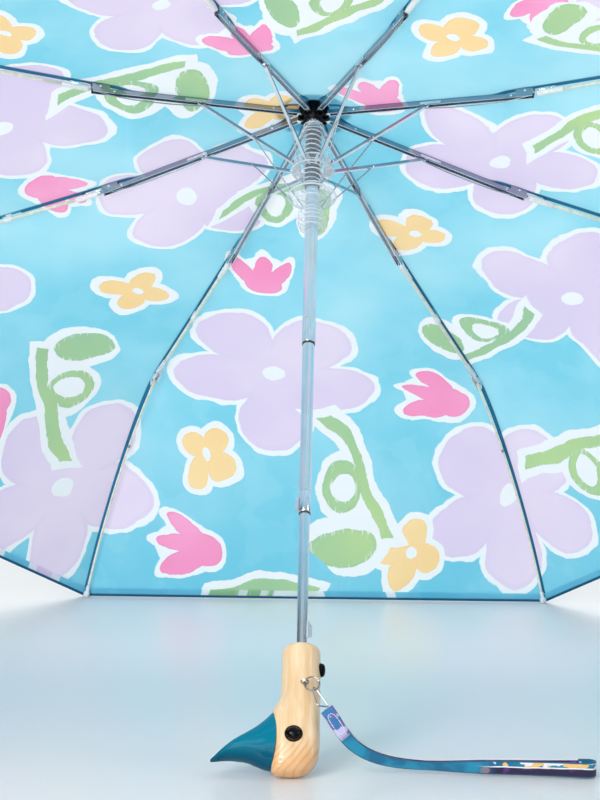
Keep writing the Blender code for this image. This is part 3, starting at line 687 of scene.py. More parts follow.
# The cloth at a rib: distance out from the shaft and height, and how far the cloth between two
# ribs is pulled in from a straight line there.
CLOTH = [
    (12.0, 3.6, 0.0), (20.0, 1.3, 0.0), (30.0, -3.2, 0.2), (50.0, -6.6, 0.5), (80.0, -11.5, 1.0),
    (120.0, -18.0, 1.8), (138.0, -20.8, 2.2), (147.0, -20.2, 2.4), (161.6, -21.1, 2.6),
    (172.0, -22.3, 2.8), (205.0, -24.9, 3.4), (250.0, -28.3, 4.2), (300.0, -31.5, 5.4),
    (325.0, -33.3, 6.4), (332.4, -34.5, 6.8), (345.0, -37.1, 7.2), (370.0, -48.7, 7.4),
    (400.0, -68.9, 6.4), (430.0, -93.7, 5.0), (455.0, -118.5, 3.6), (472.0, -139.5, 2.4),
    (485.5, -158.2, 1.6),
]
JOINT_ROWS = (161.6, 332.4)
ROWS_BETWEEN = 3
HALF_COLUMNS = 14
ROUNDING = 1e-3

# For each part of a rib, from the hub out: its pieces' name, the rib part they ride on, and how
# much of their width is left when the umbrella is folded.
PARTS = (("inner", "inner_rib", 0.08), ("middle", "middle_rib", 0.05), ("outer", "outer_rib", 0.09))


def cloth_rows():
    """The rows of the cloth at a rib, as (reach, height, pull), with the distance along it."""
    points = smooth_line(CLOTH, ROWS_BETWEEN)
    along = running([Vector((p.x, p.y)) for p in points])
    return points, [points[0].x + distance for distance in along]


def around(values, i):
    """The values before and after place i, or its own at either end."""
    return values[max(i - 1, 0)], values[min(i + 1, len(values) - 1)]


def facing_up(normal):
    return normal if normal.z > 0 else -normal


def gore_grid(index):
    """Points and normals over the gore from rib `index` to the next, with the print's map."""
    points, along = cloth_rows()
    turns = [Matrix.Rotation(rib_turn(i), 3, "Z") for i in (index, index + 1)]
    shares = [k / (2 * HALF_COLUMNS) for k in range(2 * HALF_COLUMNS + 1)]
    flat, grid, normals, prints = [], [], [], []
    for p, distance in zip(points, along):
        first, second = (turn @ Vector((p.x, 0, p.y)) for turn in turns)
        flat.append([first.lerp(second, share) for share in shares])
        prints.append([(v.x * distance / p.x, v.y * distance / p.x) for v in flat[-1]])
    for i, p in enumerate(points):
        low, high = around(flat, i)
        row = []
        for k, share in enumerate(shares):
            upwards = facing_up((high[k] - low[k]).cross(flat[i][-1] - flat[i][0]).normalized())
            row.append(flat[i][k] - upwards * p.z * 4 * share * (1 - share))
        grid.append(row)
    for i, row in enumerate(grid):
        low, high = around(grid, i)
        facing = []
        for k in range(len(row)):
            before, after = around(row, k)
            facing.append(facing_up((high[k] - low[k]).cross(after - before).normalized()))
        normals.append(facing)
    return grid, normals, prints, points, along


def sheet_mesh(name, rows, normals, maps, look):
    """An open sheet through rows of points, with given normals and maps; z up in the frame."""
    count = len(rows[0])
    faces = [
        (i * count + k, i * count + k + 1, (i + 1) * count + k + 1, (i + 1) * count + k)
        for i in range(len(rows) - 1)
        for k in range(count - 1)
    ]
    mesh = bpy.data.meshes.new(name)
    mesh.from_pydata([tuple(LEAN @ v) for row in rows for v in row], [], faces)
    flat_normals = [LEAN_TURN @ v for row in normals for v in row]
    if mesh.polygons[0].normal.dot(flat_normals[0]) < 0:
        mesh.flip_normals()
    for map_name, values in maps.items():
        layer = mesh.uv_layers.new(name=map_name)
        flat_values = [(u * MM, v * MM) for row in values for u, v in row]
        for loop in mesh.loops:
            layer.data[loop.index].uv = flat_values[loop.vertex_index]
    for face in mesh.polygons:
        face.use_smooth = True
    mesh.normals_split_custom_set_from_vertices([tuple(v) for v in flat_normals])
    mesh.materials.append(look)
    return mesh


def area_of(mesh):
    return sum(face.area for face in mesh.polygons)


def panel(index, side, part, look):
    """Half of a gore, from its rib to its middle, over one part of the rib: 0, 1 or 2."""
    gore = index if side > 0 else (index - 2) % RIBS + 1
    grid, normals, prints, points, along = gore_grid(gore)
    low, high = [points[0].x, *JOINT_ROWS, points[-1].x][part : part + 2]
    rows = [i for i, p in enumerate(points) if low - ROUNDING <= p.x <= high + ROUNDING]
    columns = [k if side > 0 else 2 * HALF_COLUMNS - k for k in range(HALF_COLUMNS + 1)]
    picked, facing, prints = (
        [[values[i][k] for k in columns] for i in rows] for values in (grid, normals, prints)
    )
    edges = [[((v - row[0]).length, along[-1] - along[i]) for v in row] for i, row in zip(rows, picked)]
    rib_line = picked[-1][0] - picked[0][0]
    outward = rib_line.normalized()
    if part == 2:
        fold_hem(picked, facing, prints, edges, outward)
    part_name, body, keep = PARTS[part]
    name = f"canopy_{part_name}_{index}_{'a' if side > 0 else 'b'}"
    mesh = sheet_mesh(name, picked, facing, {"print": prints, "edges": edges}, look)
    piece = linked(name, mesh)
    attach(piece, f"{body}_{index}")
    across = picked[-1][-1] - picked[-1][0]
    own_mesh(piece)
    wide, long = across.length * MM, rib_line.length * MM
    steps = [along[second] - along[first] for first, second in zip(rows, [*rows[1:], rows[-1]])]
    flat_area = sum((row[-1] - row[0]).length * step for row, step in zip(picked, steps)) * MM * MM
    flat_area = max(flat_area, area_of(mesh) * 0.95)
    size = (max(wide, flat_area / long * 1.02, 0.011), long * 1.02)
    return piece


def fold_hem(picked, facing, prints, edges, outward):
    """Turns the cloth's edge under: three more rows on the inside."""
    last, normal, ground = picked[-1], facing[-1], prints[-1]
    seam = [e[0] for e in edges[-1]]
    for back, under in ((-0.35, 0.35), (0.6, 0.7), (7.0, 0.75)):
        picked.append([p - outward * back - n * under for p, n in zip(last, normal)])
        facing.append([-n for n in normal])
        prints.append(list(ground))
        edges.append([(s, max(back, 0.0)) for s in seam])


def height_at(reach):
    """The cloth's height at a rib, at that distance from the shaft."""
    return float(np.interp(reach, [c[0] for c in CLOTH], [c[1] for c in CLOTH]))


def seam_tape(index, joint, look):
    """The sewn tape inside the cloth along a rib, over the joint: 0 nearer the hub, 1 farther."""
    low, high = ((20.0, 246.0), (246.0, 483.0))[joint]
    turn = Matrix.Rotation(rib_turn(index), 4, "Z")
    path = [
        turn @ Vector((p.x, 0, p.y - (0.9 if p.x < 350 else 1.1)))
        for p in cloth_rows()[0]
        if low <= p.x <= high
    ]
    outline = [(-1.5, -0.15), (1.5, -0.15), (0.5, 0.35), (-0.5, 0.35)]
    mesh = sweep("tape", path, outline, up=Vector((0, 0, 1)))
    mesh.transform(LEAN)
    piece = thing(f"seam_tape_{('inner', 'outer')[joint]}_{index}", mesh, look, smooth=False)
    reach = JOINT_ROWS[joint]
    ends = [LEAN @ (turn @ Vector((reach + d, 0, height_at(reach + d)))) for d in (-7, 7)]
    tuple(ends[0])
    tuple(ends[1])
    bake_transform(piece)


def crown(look):
    """The reinforcing disc round the hub, with a scalloped edge, inside the cloth."""
    steps, rows, normals, prints, edges = 64, [], [], [], []
    bore, rim = 10.8, 25.0
    for r in (bore, 13.0, 16.0, 19.0, 22.0, rim):
        turns = [2 * math.pi * k / steps for k in range(steps + 1)]
        scallop = 0.07 * (r - bore) / (rim - bore)
        reach = [r * (1 + scallop * math.cos(RIBS * (a - rib_turn(1)) + math.pi)) for a in turns]
        ground = [(s * math.cos(a), s * math.sin(a)) for s, a in zip(reach, turns)]
        rows.append([Vector((*g, height_at(max(s, 12)) + 0.35)) for g, s in zip(ground, reach)])
        tilted = [Vector((0.1 * math.cos(a), 0.1 * math.sin(a), 1)) for a in turns]
        normals.append([v.normalized() for v in tilted])
        prints.append(ground)
        edges.append([(10, (rim - r) * 0.8 + 0.6)] * len(turns))
    mesh = sheet_mesh("canopy_crown", rows, normals, {"print": prints, "edges": edges}, look)
    piece = linked("canopy_crown", mesh)
    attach(piece, "canopy")


def canopy(looks):
    first = {}
    for index in range(1, RIBS + 1):
        for side in (1, -1):
            for part in range(3):
                piece = panel(index, side, part, looks["fabric"])
                if side > 0 and part == 2:
                    first[index] = piece
        for joint in (0, 1):
            seam_tape(index, joint, looks["seam"])
    for index, piece in first.items():
        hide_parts(f"canopy_gore_{index}")
    crown(looks["fabric"])


# ---------------------------------------------------------------- ribs


def dome(name, at, radius, high, side):
    """A low round rivet head that faces +y or -y."""
    outline = [(radius, 0), (radius, high * 0.35), (radius * 0.8, high * 0.75), (radius * 0.35, high)]
    mesh = turned(name, outline, 12)
    mesh.transform(Matrix.Translation(at) @ Matrix.Rotation(math.radians(-90 * side), 4, "X"))
    return mesh


def rivets(name, places, radius, high):
    """Rivet heads on both faces, at (along, lift, half width) places."""
    heads = []
    for along, lift, half in places:
        for side in (1, -1):
            heads.append(dome(name, (along, side * half, lift), radius, high, side))
    return gather(name, *heads)


def channel(name, low, high, half, top, bottom, wall):
    """A folded strip, open underneath, with rounded corners."""
    soft, inner = 0.35 * wall + 0.25, half - wall
    outline = [
        (-half, bottom), (-half, top - soft), (-half + soft, top), (half - soft, top),
        (half, top - soft), (half, bottom), (inner, bottom), (inner, top - wall),
        (-inner, top - wall), (-inner, bottom),
    ]
    return loops_mesh(name, [[(x, y, z) for y, z in outline] for x in (low, high)])


def outer_path(low, high, pieces):
    """The bowed line of the outer rod, between two shares of its length."""
    shares = [low + (high - low) * i / pieces for i in range(pieces + 1)]
    return [Vector((OUTER_LENGTH * s, 0, 4 * OUTER_BOW * s * (1 - s))) for s in shares]


def inner_details(looks):
    """Rivets, the plates at the stretcher's pivot and the thin wire under each channel."""
    places = [
        (STRETCHER_ALONG, STRETCHER_DROP, 2.0), (STRETCHER_ALONG + 7, 0.0, 2.0),
        (INNER_LENGTH, INNER_PIN_LIFT, 2.02), (143, 0.0, 2.0), (22, 0.0, 2.0),
    ]
    heads = rivets("channel_rivets", places, 1.0, 0.45)
    on_each_rib("channel_rivets", heads, "inner_rib", looks["bright"])
    line = [(70, -1.9), (82, -3.4), (100, -4.3), (128, -4.0), (146, -2.2), (157, 0.2)]
    wire = sweep("wire", smooth_line([(x, 0, z) for x, z in line], 4), circle(0.42, 8))
    on_each_rib("control_wire", wire, "inner_rib", looks["wire"])
    plates = [block("link", (-1, y, -1), (15, y + 0.45, 1.1), 0.2) for y in (2.0, -2.45)]
    link = gather("link", *plates)
    link.transform(Matrix.Translation((STRETCHER_ALONG - 3.5, 0, -0.2)))
    on_each_rib("pivot_plate", link, "inner_rib", looks["bright"], smooth=False)


def middle_details(looks):
    """The middle rod with its steel bracket, white sleeve, eyelet and outer fork."""

    def on_rod(name, outline, steps=16):
        """A turned piece whose axis is the rod's."""
        return turned(name, outline, steps, "X", (0, 0, ROD_DROP))

    bracket = gather(
        "bracket",
        channel("bracket", 0.8, 22, 1.12, 1.2, -1.5, 0.35),
        turned("tongue", [(1.2, -1.0), (1.6, -0.8), (1.6, 0.8), (1.2, 1.0)], 16, "Y"),
        block("lip", (7, -1.6, -3.4), (13, 1.6, -1.3), 0.3),
        rivets("heads", [(10, -2.3, 1.6), (18.5, -0.4, 1.1)], 0.75, 0.35),
    )
    on_each_rib("rib_bracket", bracket, "middle_rib", looks["bright"])
    tube = [(1.3, 8.6), (1.85, 8.9), (2.05, 10), (2.05, 24), (1.8, 27), (1.35, 28.2)]
    on_each_rib("rib_sleeve", on_rod("sleeve", tube, 20), "middle_rib", looks["white"])
    line = [Vector((27 + 133 * i / 6, 0, ROD_DROP)) for i in range(7)]
    shank = sweep("rod", line, circle(MIDDLE_RADIUS, 14))
    rods = on_each_rib("middle_rod", shank, "middle_rib", looks["rod"])
    for index, piece in enumerate(rods, 1):
        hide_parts(f"middle_rib_{index}")
    eyelet = gather(
        "eyelet",
        on_rod("collar", [(1.4, 79.5), (1.95, 80), (1.95, 85.8), (1.4, 86.4)]),
        block("ear", (80.6, -0.55, ROD_DROP + 1.2), (85.2, 0.55, ROD_DROP + 4.4), 0.3),
    )
    on_each_rib("rib_eyelet", eyelet, "middle_rib", looks["white"])
    fork = gather(
        "fork",
        block("block", (156, -1.95, -3.9), (176, 1.95, -1.3), 0.5),
        *[block("plate", (162, y, -7.4), (176.6, y + 0.7, -1.8), 0.3) for y in (-2.0, 1.3)],
        on_rod("neck", [(1.4, 146), (1.9, 148), (2.2, 158), (1.4, 160)]),
    )
    on_each_rib("rib_fork", fork, "middle_rib", looks["frosted"])
    pins = rivets("pins", [(MIDDLE_LENGTH, OUTER_PIN_DROP, 2.0), (165, -3.0, 1.98)], 0.9, 0.4)
    on_each_rib("fork_pins", pins, "middle_rib", looks["dark"])


def outer_details(looks):
    """The thin outer rod, the thread that ties it to the cloth, and the bead at its tip."""
    slope = math.atan(4 * OUTER_BOW / OUTER_LENGTH)
    arm = block("arm", (-1.2, -0.9, -1.1), (9, 0.9, 1.1), 0.35)
    arm.transform(Matrix.Rotation(-slope, 4, "Y"))
    whole = gather("rod", arm, sweep("shank", outer_path(0.03, 0.985, 20), circle(OUTER_RADIUS, 12)))
    rods = on_each_rib("outer_rod", whole, "outer_rib", looks["rod"])
    for index, piece in enumerate(rods, 1):
        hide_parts(f"outer_rib_{index}")
    outline = [
        (1.25, -7.0), (1.5, -6.4), (1.5, -2.6), (2.1, -1.9), (2.6, -0.6), (2.6, 0.4), (2.1, 1.6),
        (1.1, 2.3), (0.3, 2.45),
    ]
    bead = turned("bead", outline, 20, "X")
    bead.transform(Matrix.Translation((OUTER_LENGTH, 0, 0)) @ Matrix.Rotation(slope, 4, "Y"))
    on_each_rib("tip_bead", bead, "outer_rib", looks["frosted"])
    at = outer_path(0.33, 0.331, 1)[0]
    loops = []
    for shift in (-0.9, 0.0, 0.9):
        ring = [at + Vector((shift, 1.25 * u, 2.4 + 3.6 * v)) for u, v in circle(1, 16)]
        loops.append(sweep("thread", ring, circle(0.3, 6), closed=True))
    on_each_rib("rib_tie", gather("tie", *loops), "outer_rib", looks["thread"])


def stretcher_details(looks):
    """Rivets on each stretcher, and the wire from the lower collar up to it."""
    halfway = 0.45 * STRETCHER_LENGTH
    heads = rivets("heads", [(3, 0, 1.05), (halfway, -0.2, 1.05)], 0.8, 0.4)
    on_each_rib("stretcher_rivets", heads, "stretcher", looks["bright"])
    meet = on_rib(RUNNER_PIN, STRETCHER_ANGLE, halfway, 0)
    start, end = Vector((COLLAR_PIN[0], 0, COLLAR_PIN[1])), Vector((meet[0], 0, meet[1]))
    line = [start, start.lerp(end, 0.5) + Vector((0, 0.5, 0)), end + Vector((0, 1.3, 0))]
    wire = sweep("wire", smooth_line(line, 5), circle(0.45, 8))
    for index in range(1, RIBS + 1):
        turn = Matrix.Rotation(rib_turn(index), 4, "Z")
        mesh = wire.copy()
        mesh.transform(LEAN @ turn)
        piece = thing(f"collar_wire_{index}", mesh, looks["wire"])
        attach(piece, f"stretcher_{index}")
        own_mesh(piece)


# ---------------------------------------------------------------- shaft and handle

# Moulded lips: the part that each is on, its height, its radius and half its thickness.
RUNNER_LIPS = [
    ("runner", -12.2, 6.9, 0.5), ("runner", -18.0, 8.6, 0.4), ("runner", -41.0, 8.9, 0.5),
    ("runner", -44.9, 14.6, 0.6), ("runner", -51.3, 14.6, 0.6), ("runner", -54.0, 9.2, 0.4),
    ("runner", -65.0, 8.8, 0.5), ("lower_collar", -69.6, 12.5, 0.5), ("lower_collar", -72.9, 17.0, 0.6),
    ("lower_collar", -77.0, 11.0, 0.4), ("lower_collar", -84.5, 7.2, 0.5), ("lower_collar", -89.0, 9.5, 0.45),
    ("lower_collar", -92.4, 9.9, 0.45), ("lower_collar", -95.8, 9.5, 0.45), ("lower_collar", -99.4, 8.0, 0.5),
]


def runner_details(looks):
    """Moulded lips on the clear parts, a dark sleeve under the coil that paints the shade inside the runner,
    and the runner's fins.
    """
    for i, (body, z, radius, thick) in enumerate(RUNNER_LIPS, 1):
        ring = [Vector((u, v, z)) for u, v in circle(radius, 48)]
        mesh = sweep("lip", ring, circle(thick, 8), closed=True, up=Vector((0, 0, 1)))
        on_shaft(f"clear_lip_{i}", mesh, body, looks["lip"])
    # Painted shade: a dark sleeve round the tube under the coil, standing for the shadow inside the runner
    # between the coil's turns.
    coil_shade = hollow("coil_shade", [(4.75, -14), (5.15, -14), (5.15, -66), (4.75, -66)])
    on_shaft("coil_shade_sleeve", coil_shade, "runner", looks["coil_shade"])
    fins = []
    for k in range(RIBS):
        for aside in (-1.75, 1.75):
            fin = block("fin", (9.5, -0.35, -51.5), (14.8, 0.35, -44.8), 0.15)
            fin.transform(Matrix.Rotation(rib_turn(k), 4, "Z") @ Matrix.Translation((0, aside, 0)))
            fins.append(fin)
    on_shaft("runner_fins", gather("fins", *fins), "runner", looks["lip"], smooth=False)


def shaft_details(looks):
    """Swaged ends and inner bushes where each tube slides out of the one above."""
    ends = (
        ("upper_tube_end", "canopy", 4.66, 4.72, -176.0, -195.2),
        ("middle_tube_end", "middle_tube", 4.12, 4.18, -313.0, -329.2),
    )
    for name, body, slim, wide, top, bottom in ends:
        outline = [
            (slim - 0.1, top), (wide, top - 0.6), (wide, bottom + 0.5), (wide - 0.15, bottom),
            (slim - 0.35, bottom), (slim - 0.35, top - 0.2),
        ]
        on_shaft(name, hollow(name, outline), body, looks["tube"])
    bushes = (
        ("upper_bush", "canopy", 4.1, 4.55, -195.3, -196.5),
        ("middle_bush", "middle_tube", 3.62, 4.0, -329.3, -330.4),
    )
    for name, body, slim, wide, top, bottom in bushes:
        outline = [(slim, top), (wide, top), (wide - 0.1, bottom), (slim, bottom)]
        on_shaft(name, hollow(name, outline), body, looks["dark"])
    stud = turned("stud", [(0.9, -7.3), (1.6, -7.1), (1.6, -6.2), (0.9, -6.0)], 12, at=(0, 6.6, 0))
    on_shaft("hub_stud", stud, "canopy", looks["bright"])


# Sections of the wood: height, left and right edge, and half the depth.
WOOD = [
    (-431.0, -9.6, 9.6, 9.6), (-431.7, -11.2, 11.2, 11.2), (-433.6, -12.4, 12.4, 12.4),
    (-438.0, -12.7, 12.7, 12.7), (-450.0, -12.7, 12.8, 12.7), (-462.0, -12.8, 12.8, 12.7),
    (-468.0, -13.6, 12.9, 12.8), (-473.0, -15.4, 12.9, 13.0), (-478.0, -18.2, 13.0, 13.2),
    (-484.0, -20.6, 13.1, 13.4), (-491.0, -21.6, 13.2, 13.4), (-498.0, -21.8, 13.2, 13.4),
    (-504.0, -21.2, 13.0, 13.2), (-509.0, -20.4, 12.4, 12.6), (-513.5, -19.6, 10.8, 11.6),
    (-517.5, -18.6, 8.0, 9.6), (-520.2, -17.2, 4.6, 7.2), (-521.6, -15.4, 0.6, 4.4),
]
# Sections of the beak: x, the middle's depth below the hub, half the height and half the width.
BEAK = [
    (-11.5, 498.4, 22.0, 12.9), (-14.8, 498.5, 21.2, 12.9), (-17.7, 498.8, 19.9, 12.9),
    (-20.0, 499.6, 18.3, 12.8), (-22.8, 500.7, 16.4, 12.6), (-28.2, 501.9, 12.8, 12.2),
    (-34.0, 502.7, 9.3, 11.8), (-40.0, 504.2, 6.9, 10.8),
    (-45.0, 505.9, 4.8, 9.4), (-50.0, 508.3, 2.9, 6.9), (-54.0, 510.7, 1.7, 3.9),
    (-56.4, 512.0, 1.0, 1.7), (-57.2, 512.4, 0.5, 0.7),
]
BORE_END = -450
BUTTON_Z, SCREW_EYE_Z, SCREW_X = -446.5, -463.0, 3.0
EYE_X, EYE_Z = -3.6, -498.5
SECTION_STEPS = 72

# Where the beak meets the wood: a line that bows by JOIN_BOW over the height of JOIN_HALF.
JOIN_X, JOIN_Z, JOIN_BOW, JOIN_HALF = -14.8, -498.5, 2.9, 20.2


def blunt(angle, power):
    """A point of a rounded square outline, and of a circle at power 2."""
    c, s = math.cos(angle), math.sin(angle)
    return (math.copysign(abs(c) ** (2 / power), c), math.copysign(abs(s) ** (2 / power), s))


def blunt_loop(power):
    return [blunt(2 * math.pi * k / SECTION_STEPS, power) for k in range(SECTION_STEPS)]


def dense(rows, steps):
    """The same profile with more rows, for rows of any width."""
    columns = list(zip(*rows))
    spline = [smooth_line([(v, 0, 0) for v in column], steps) for column in columns]
    return [tuple(line[i].x for line in spline) for i in range(len(spline[0]))]


def beak_side(name, far, gap):
    """All that lies to one side of the curved line where the beak meets the wood."""
    join = [(z, (z - JOIN_Z) / JOIN_HALF) for z in range(-540, -459, 4)]
    line = [(JOIN_X - gap - JOIN_BOW * share**2, z) for z, share in join]
    outline = [*line, (far, -460), (far, -540)]
    return loops_mesh(name, [[(x, y, z) for x, z in outline] for y in (-30, 30)])


def keep_edges(piece, degrees=35):
    """Smooth faces with sharp lines where they meet at more than that angle."""
    with reworked(piece.data) as work:
        for edge in work.edges:
            if len(edge.link_faces) == 2 and edge.calc_face_angle(0) > math.radians(degrees):
                edge.smooth = False


def handle_wood(looks):
    """The duck's neck and head, with its bore, the button's pit and the screw eye's hole."""
    loops = []
    for z, left, right, deep in dense(WOOD, 4):
        middle, half = (left + right) / 2, (right - left) / 2
        power = 2.0 + 0.5 * min(1, max(0, (-z - 462) / 20))
        loops.append([(middle + half * u, deep * v, z) for u, v in blunt_loop(power)])
    body = loops_mesh("wood", loops)
    socket = turned("socket", [(3.8, BORE_END), (3.8, -420)], 40)
    pit = turned("pit", [(5.0, 8.8), (5.0, 16)], 40, "X", (0, 0, BUTTON_Z))
    hole = turned("hole", [(1.1, -16), (1.1, -8.4)], 20, "Y", (SCREW_X, 0, SCREW_EYE_Z))
    mesh = cut("wood", body, socket, pit, hole, beak_side("left", -40, 0.0))
    piece = on_shaft("handle_wood", mesh, "lower_tube", looks["wood"])
    keep_edges(piece)
    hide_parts("handle")


def handle_beak(looks):
    """The bill, with a faint mouth line along its sides."""
    mouth, mouth_width, mouth_depth = -0.22, 0.07, 0.03
    loops = []
    for x, middle, tall, half in dense(BEAK, 4):
        depth = mouth_depth * min(1.0, max(0.0, (-x - 15) / 10))
        ring = []
        for u, v in blunt_loop(2.25):
            pinch = 1 - depth * math.exp(-(((v - mouth) / mouth_width) ** 2))
            ring.append((x, half * u * pinch, tall * v - middle))
        loops.append(ring)
    mesh = cut("beak", loops_mesh("beak", loops), beak_side("right", 0, 0.12))
    piece = on_shaft("handle_bill", mesh, "lower_tube", looks["beak"])
    keep_edges(piece)
    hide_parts("handle_beak")


def eye_rings(looks):
    """A dark ring round each eye, let into the wood."""
    outline = [(4.5, -0.6), (5.5, -0.6), (5.9, 0.1), (5.6, 0.7), (5.0, 0.75), (4.6, 0.3)]
    for name, side in (("eye_ring_front", -1), ("eye_ring_back", 1)):
        ring = hollow(name, outline, 40)
        turn = Matrix.Rotation(math.radians(-90 * side), 4, "X")
        ring.transform(Matrix.Translation((EYE_X, side * 13.3, EYE_Z)) @ turn)
        on_shaft(name, ring, "lower_tube", looks["eye_rim"])


# ---------------------------------------------------------------- strap

# The middle of the strap's two strands in the floor's frame, and half the gap between them, in
# millimetres.
STRAP_MIDDLE = [
    (17.4, -219.2, 44.2), (21.6, -219.4, 38.2), (27.6, -218.8, 29.0), (35.6, -216.6, 19.8),
    (47.0, -214.0, 12.6), (62.0, -212.2, 8.2), (82.0, -211.8, 6.4), (110.0, -212.0, 6.1),
    (140.0, -212.6, 6.1), (166.0, -213.4, 6.1), (178.0, -213.8, 6.1), (186.0, -214.0, 6.1),
]
STRAP_HALF_GAPS = [0.95, 0.95, 1.0, 1.9, 2.7, 2.95, 2.95, 2.95, 3.2, 4.2, 5.2, 5.4]
STRAP_WIDE, STRAP_THICK, TAB_WIDE, TAB_THICK = 10.6 * MM, 1.2 * MM, 8.8 * MM, 4.0 * MM
STITCHES, STITCH_REACH, STITCH_RISE, STITCH_LIFT = 26, 7.6 * MM, 2.7 * MM, 0.12 * MM

# The strap stands on edge and turns a little, so its height varies along x, in metres.
WIDTH_AT = [0.03, 0.06, 0.085, 0.12, 0.19]
WIDTH_SHARES = [0.80, 0.60, 0.50, 0.84, 0.94]


def strap_frames(path):
    """Along, side and up directions at each point of a band that stands on edge."""
    out = []
    for i in range(len(path)):
        before, after = around(path, i)
        along = (after - before).normalized()
        up = Vector((0, 0, 1))
        up = (up - along * up.dot(along)).normalized()
        out.append((along, along.cross(up), up))
    return out


def band_mesh(name, path, thick, wide, shares):
    """A band with rounded edges and a map of distance along and across it."""
    outline = [
        (-0.5, -0.42), (-0.25, -0.5), (0.25, -0.5), (0.5, -0.42), (0.5, -0.2), (0.5, 0.2),
        (0.5, 0.42), (0.25, 0.5), (-0.25, 0.5), (-0.5, 0.42), (-0.5, 0.2), (-0.5, -0.2),
    ]
    loops = [
        [point + side * u * thick + up * v * wide * share for u, v in outline]
        for point, (_, side, up), share in zip(path, strap_frames(path), shares)
    ]
    mesh = loops_mesh(name, loops)
    along = running(path)
    layer = mesh.uv_layers.new(name="strap")
    for loop in mesh.loops:
        row, k = divmod(loop.vertex_index, len(outline))
        layer.data[loop.index].uv = (along[row], outline[k][1] * wide)
    return mesh


def strap(looks):
    """The band, its tab on the wire link, and the tab's stitches."""
    middle = [p * MM for p in smooth_line(STRAP_MIDDLE, 3)]
    gaps = [p.x * MM for p in smooth_line([(g, 0, 0) for g in STRAP_HALF_GAPS], 3)]
    out = [m + Vector((0, g, 0)) for m, g in zip(middle, gaps)]
    back = [m - Vector((0, g, 0)) for m, g in zip(middle, gaps)]
    bends = [math.pi * k / 8 for k in range(1, 8)]
    turn = [middle[-1] + Vector((math.sin(a), math.cos(a), 0)) * gaps[-1] for a in bends]
    path = [*out[1:], *turn, *reversed(back[1:])]
    path.reverse()
    shares = [float(np.interp(p.x, WIDTH_AT, WIDTH_SHARES)) for p in path]
    mesh = band_mesh("strap_band", path, STRAP_THICK, STRAP_WIDE, shares)
    band = thing("strap_band", mesh, looks["strap"])
    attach(band, "wrist_strap")
    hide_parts("wrist_strap")
    tab_path = middle[:8]
    mesh = band_mesh("strap_tab", tab_path, TAB_THICK, TAB_WIDE, [1.0] * len(tab_path))
    tab = thing("strap_tab", mesh, looks["tab"])
    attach(tab, "wrist_strap")
    stitches = thing("strap_stitches", stitch_mesh(tab_path), looks["stitch"])
    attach(stitches, "wrist_strap")
    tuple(path[0])
    running(path)[-1]


def stitch_mesh(path):
    """A long loop of white stitches on both faces of the tab."""
    frames = strap_frames(path)
    reach = running(path)

    def on_face(turn, side):
        """A point of the loop, at a share of one turn round it."""
        u, v = blunt(2 * math.pi * turn, 3.0)
        at = min(max(reach[-1] / 2 + u * STITCH_REACH, 0.0), reach[-1] * 0.999)
        k = next(i for i in range(len(reach) - 1) if at <= reach[i + 1])
        share = (at - reach[k]) / (reach[k + 1] - reach[k])
        place = path[k].lerp(path[k + 1], share)
        outward, up = (frames[k][i].lerp(frames[k + 1][i], share) for i in (1, 2))
        return place + up * v * STITCH_RISE + outward * side * (TAB_THICK / 2 + STITCH_LIFT)

    meshes = []
    for side in (-1, 1):
        for k in range(STITCHES):
            points = [on_face((k + share) / STITCHES, side) for share in (0.1, 0.5, 0.9)]
            meshes.append(sweep("stitch", points, circle(0.28 * MM, 6)))
    return gather("stitches", *meshes)


# ---------------------------------------------------------------- scene


def camera():
    data = bpy.data.cameras.new("camera")
    data.lens, data.sensor_width = 157.5, 36.0
    made = linked("camera", data)
    forward = Vector((-0.0203, 0.9891, -0.1456)).normalized()
    right = Vector((0.9997, 0.0219, 0.0090))
    right = (right - forward * right.dot(forward)).normalized()
    turn = Matrix((right, right.cross(forward), -forward)).transposed().to_4x4()
    made.matrix_world = Matrix.Translation((0.0436, -2.4199, 0.5691)) @ turn
    data.clip_start, data.clip_end = 0.05, 60
    bpy.context.scene.camera = made


SURROUND, SURROUND_SIDE = linear(238, 241, 244), linear(128, 138, 150)
HANDLE_PLACE = (0, -0.22, 0.06)

# Each light's place, the point it faces, its two sizes and its power.
LIGHTS = {
    "light_behind": ((0.2, 2.4, 2.2), (0, 0.1, 0.35), 3.0, 2.0, 62),
    "light_front": ((-1.2, -2.6, 1.8), (0, 0, 0.3), 2.0, 2.0, 39),
    "light_strip": ((-1.0, -1.5, 1.0), HANDLE_PLACE, 0.12, 1.4, 4),
    "light_line_high": ((-0.8, -1.7, 0.70), HANDLE_PLACE, 0.6, 0.06, 7),
    "light_line_low": ((-0.9, -1.8, 0.20), HANDLE_PLACE, 0.6, 0.04, 5),
    "light_top": ((0.0, -0.2, 2.6), (0, -0.05, 0.4), 1.6, 1.6, 12),
    "light_side": ((2.4, -0.6, 1.2), (0, 0, 0.25), 0.8, 2.0, 12),
}


def lights():
    for name, (at, target, wide, tall, power) in LIGHTS.items():
        data = bpy.data.lights.new(name, "AREA")
        data.shape, data.size, data.size_y, data.energy = "RECTANGLE", wide, tall, power
        made = linked(name, data)
        made.location = at
        made.rotation_euler = (Vector(target) - Vector(at)).to_track_quat("-Z", "Y").to_euler()


def floor():
    """A pale seamless floor, with painted light and shade: a painted shadow across it under the umbrella."""
    mesh = bpy.data.meshes.new("floor")
    mesh.from_pydata([(-9, -9, 0), (9, -9, 0), (9, 12, 0), (-9, 12, 0)], [], [(0, 1, 2, 3)])
    n = Look("studio_floor", roughness=0.3, Specular_IOR_Level=0.4)
    far = n.split(n.place())[1]
    # Painted light and shade: lighter at the front and behind, and a painted shadow, a darker band, at y = 0
    # under the umbrella.
    near = n.mix(n.ramp(far, -0.30, 0.0), linear(236, 235, 235), linear(210, 224, 226))
    middle = n.mix(n.ramp(far, 0.0, 0.2), near, linear(236, 238, 236))
    n.colour(n.mix(n.ramp(far, 0.3, 0.6), middle, linear(228, 231, 230)))
    thing("studio_floor", mesh, n.material, smooth=False)


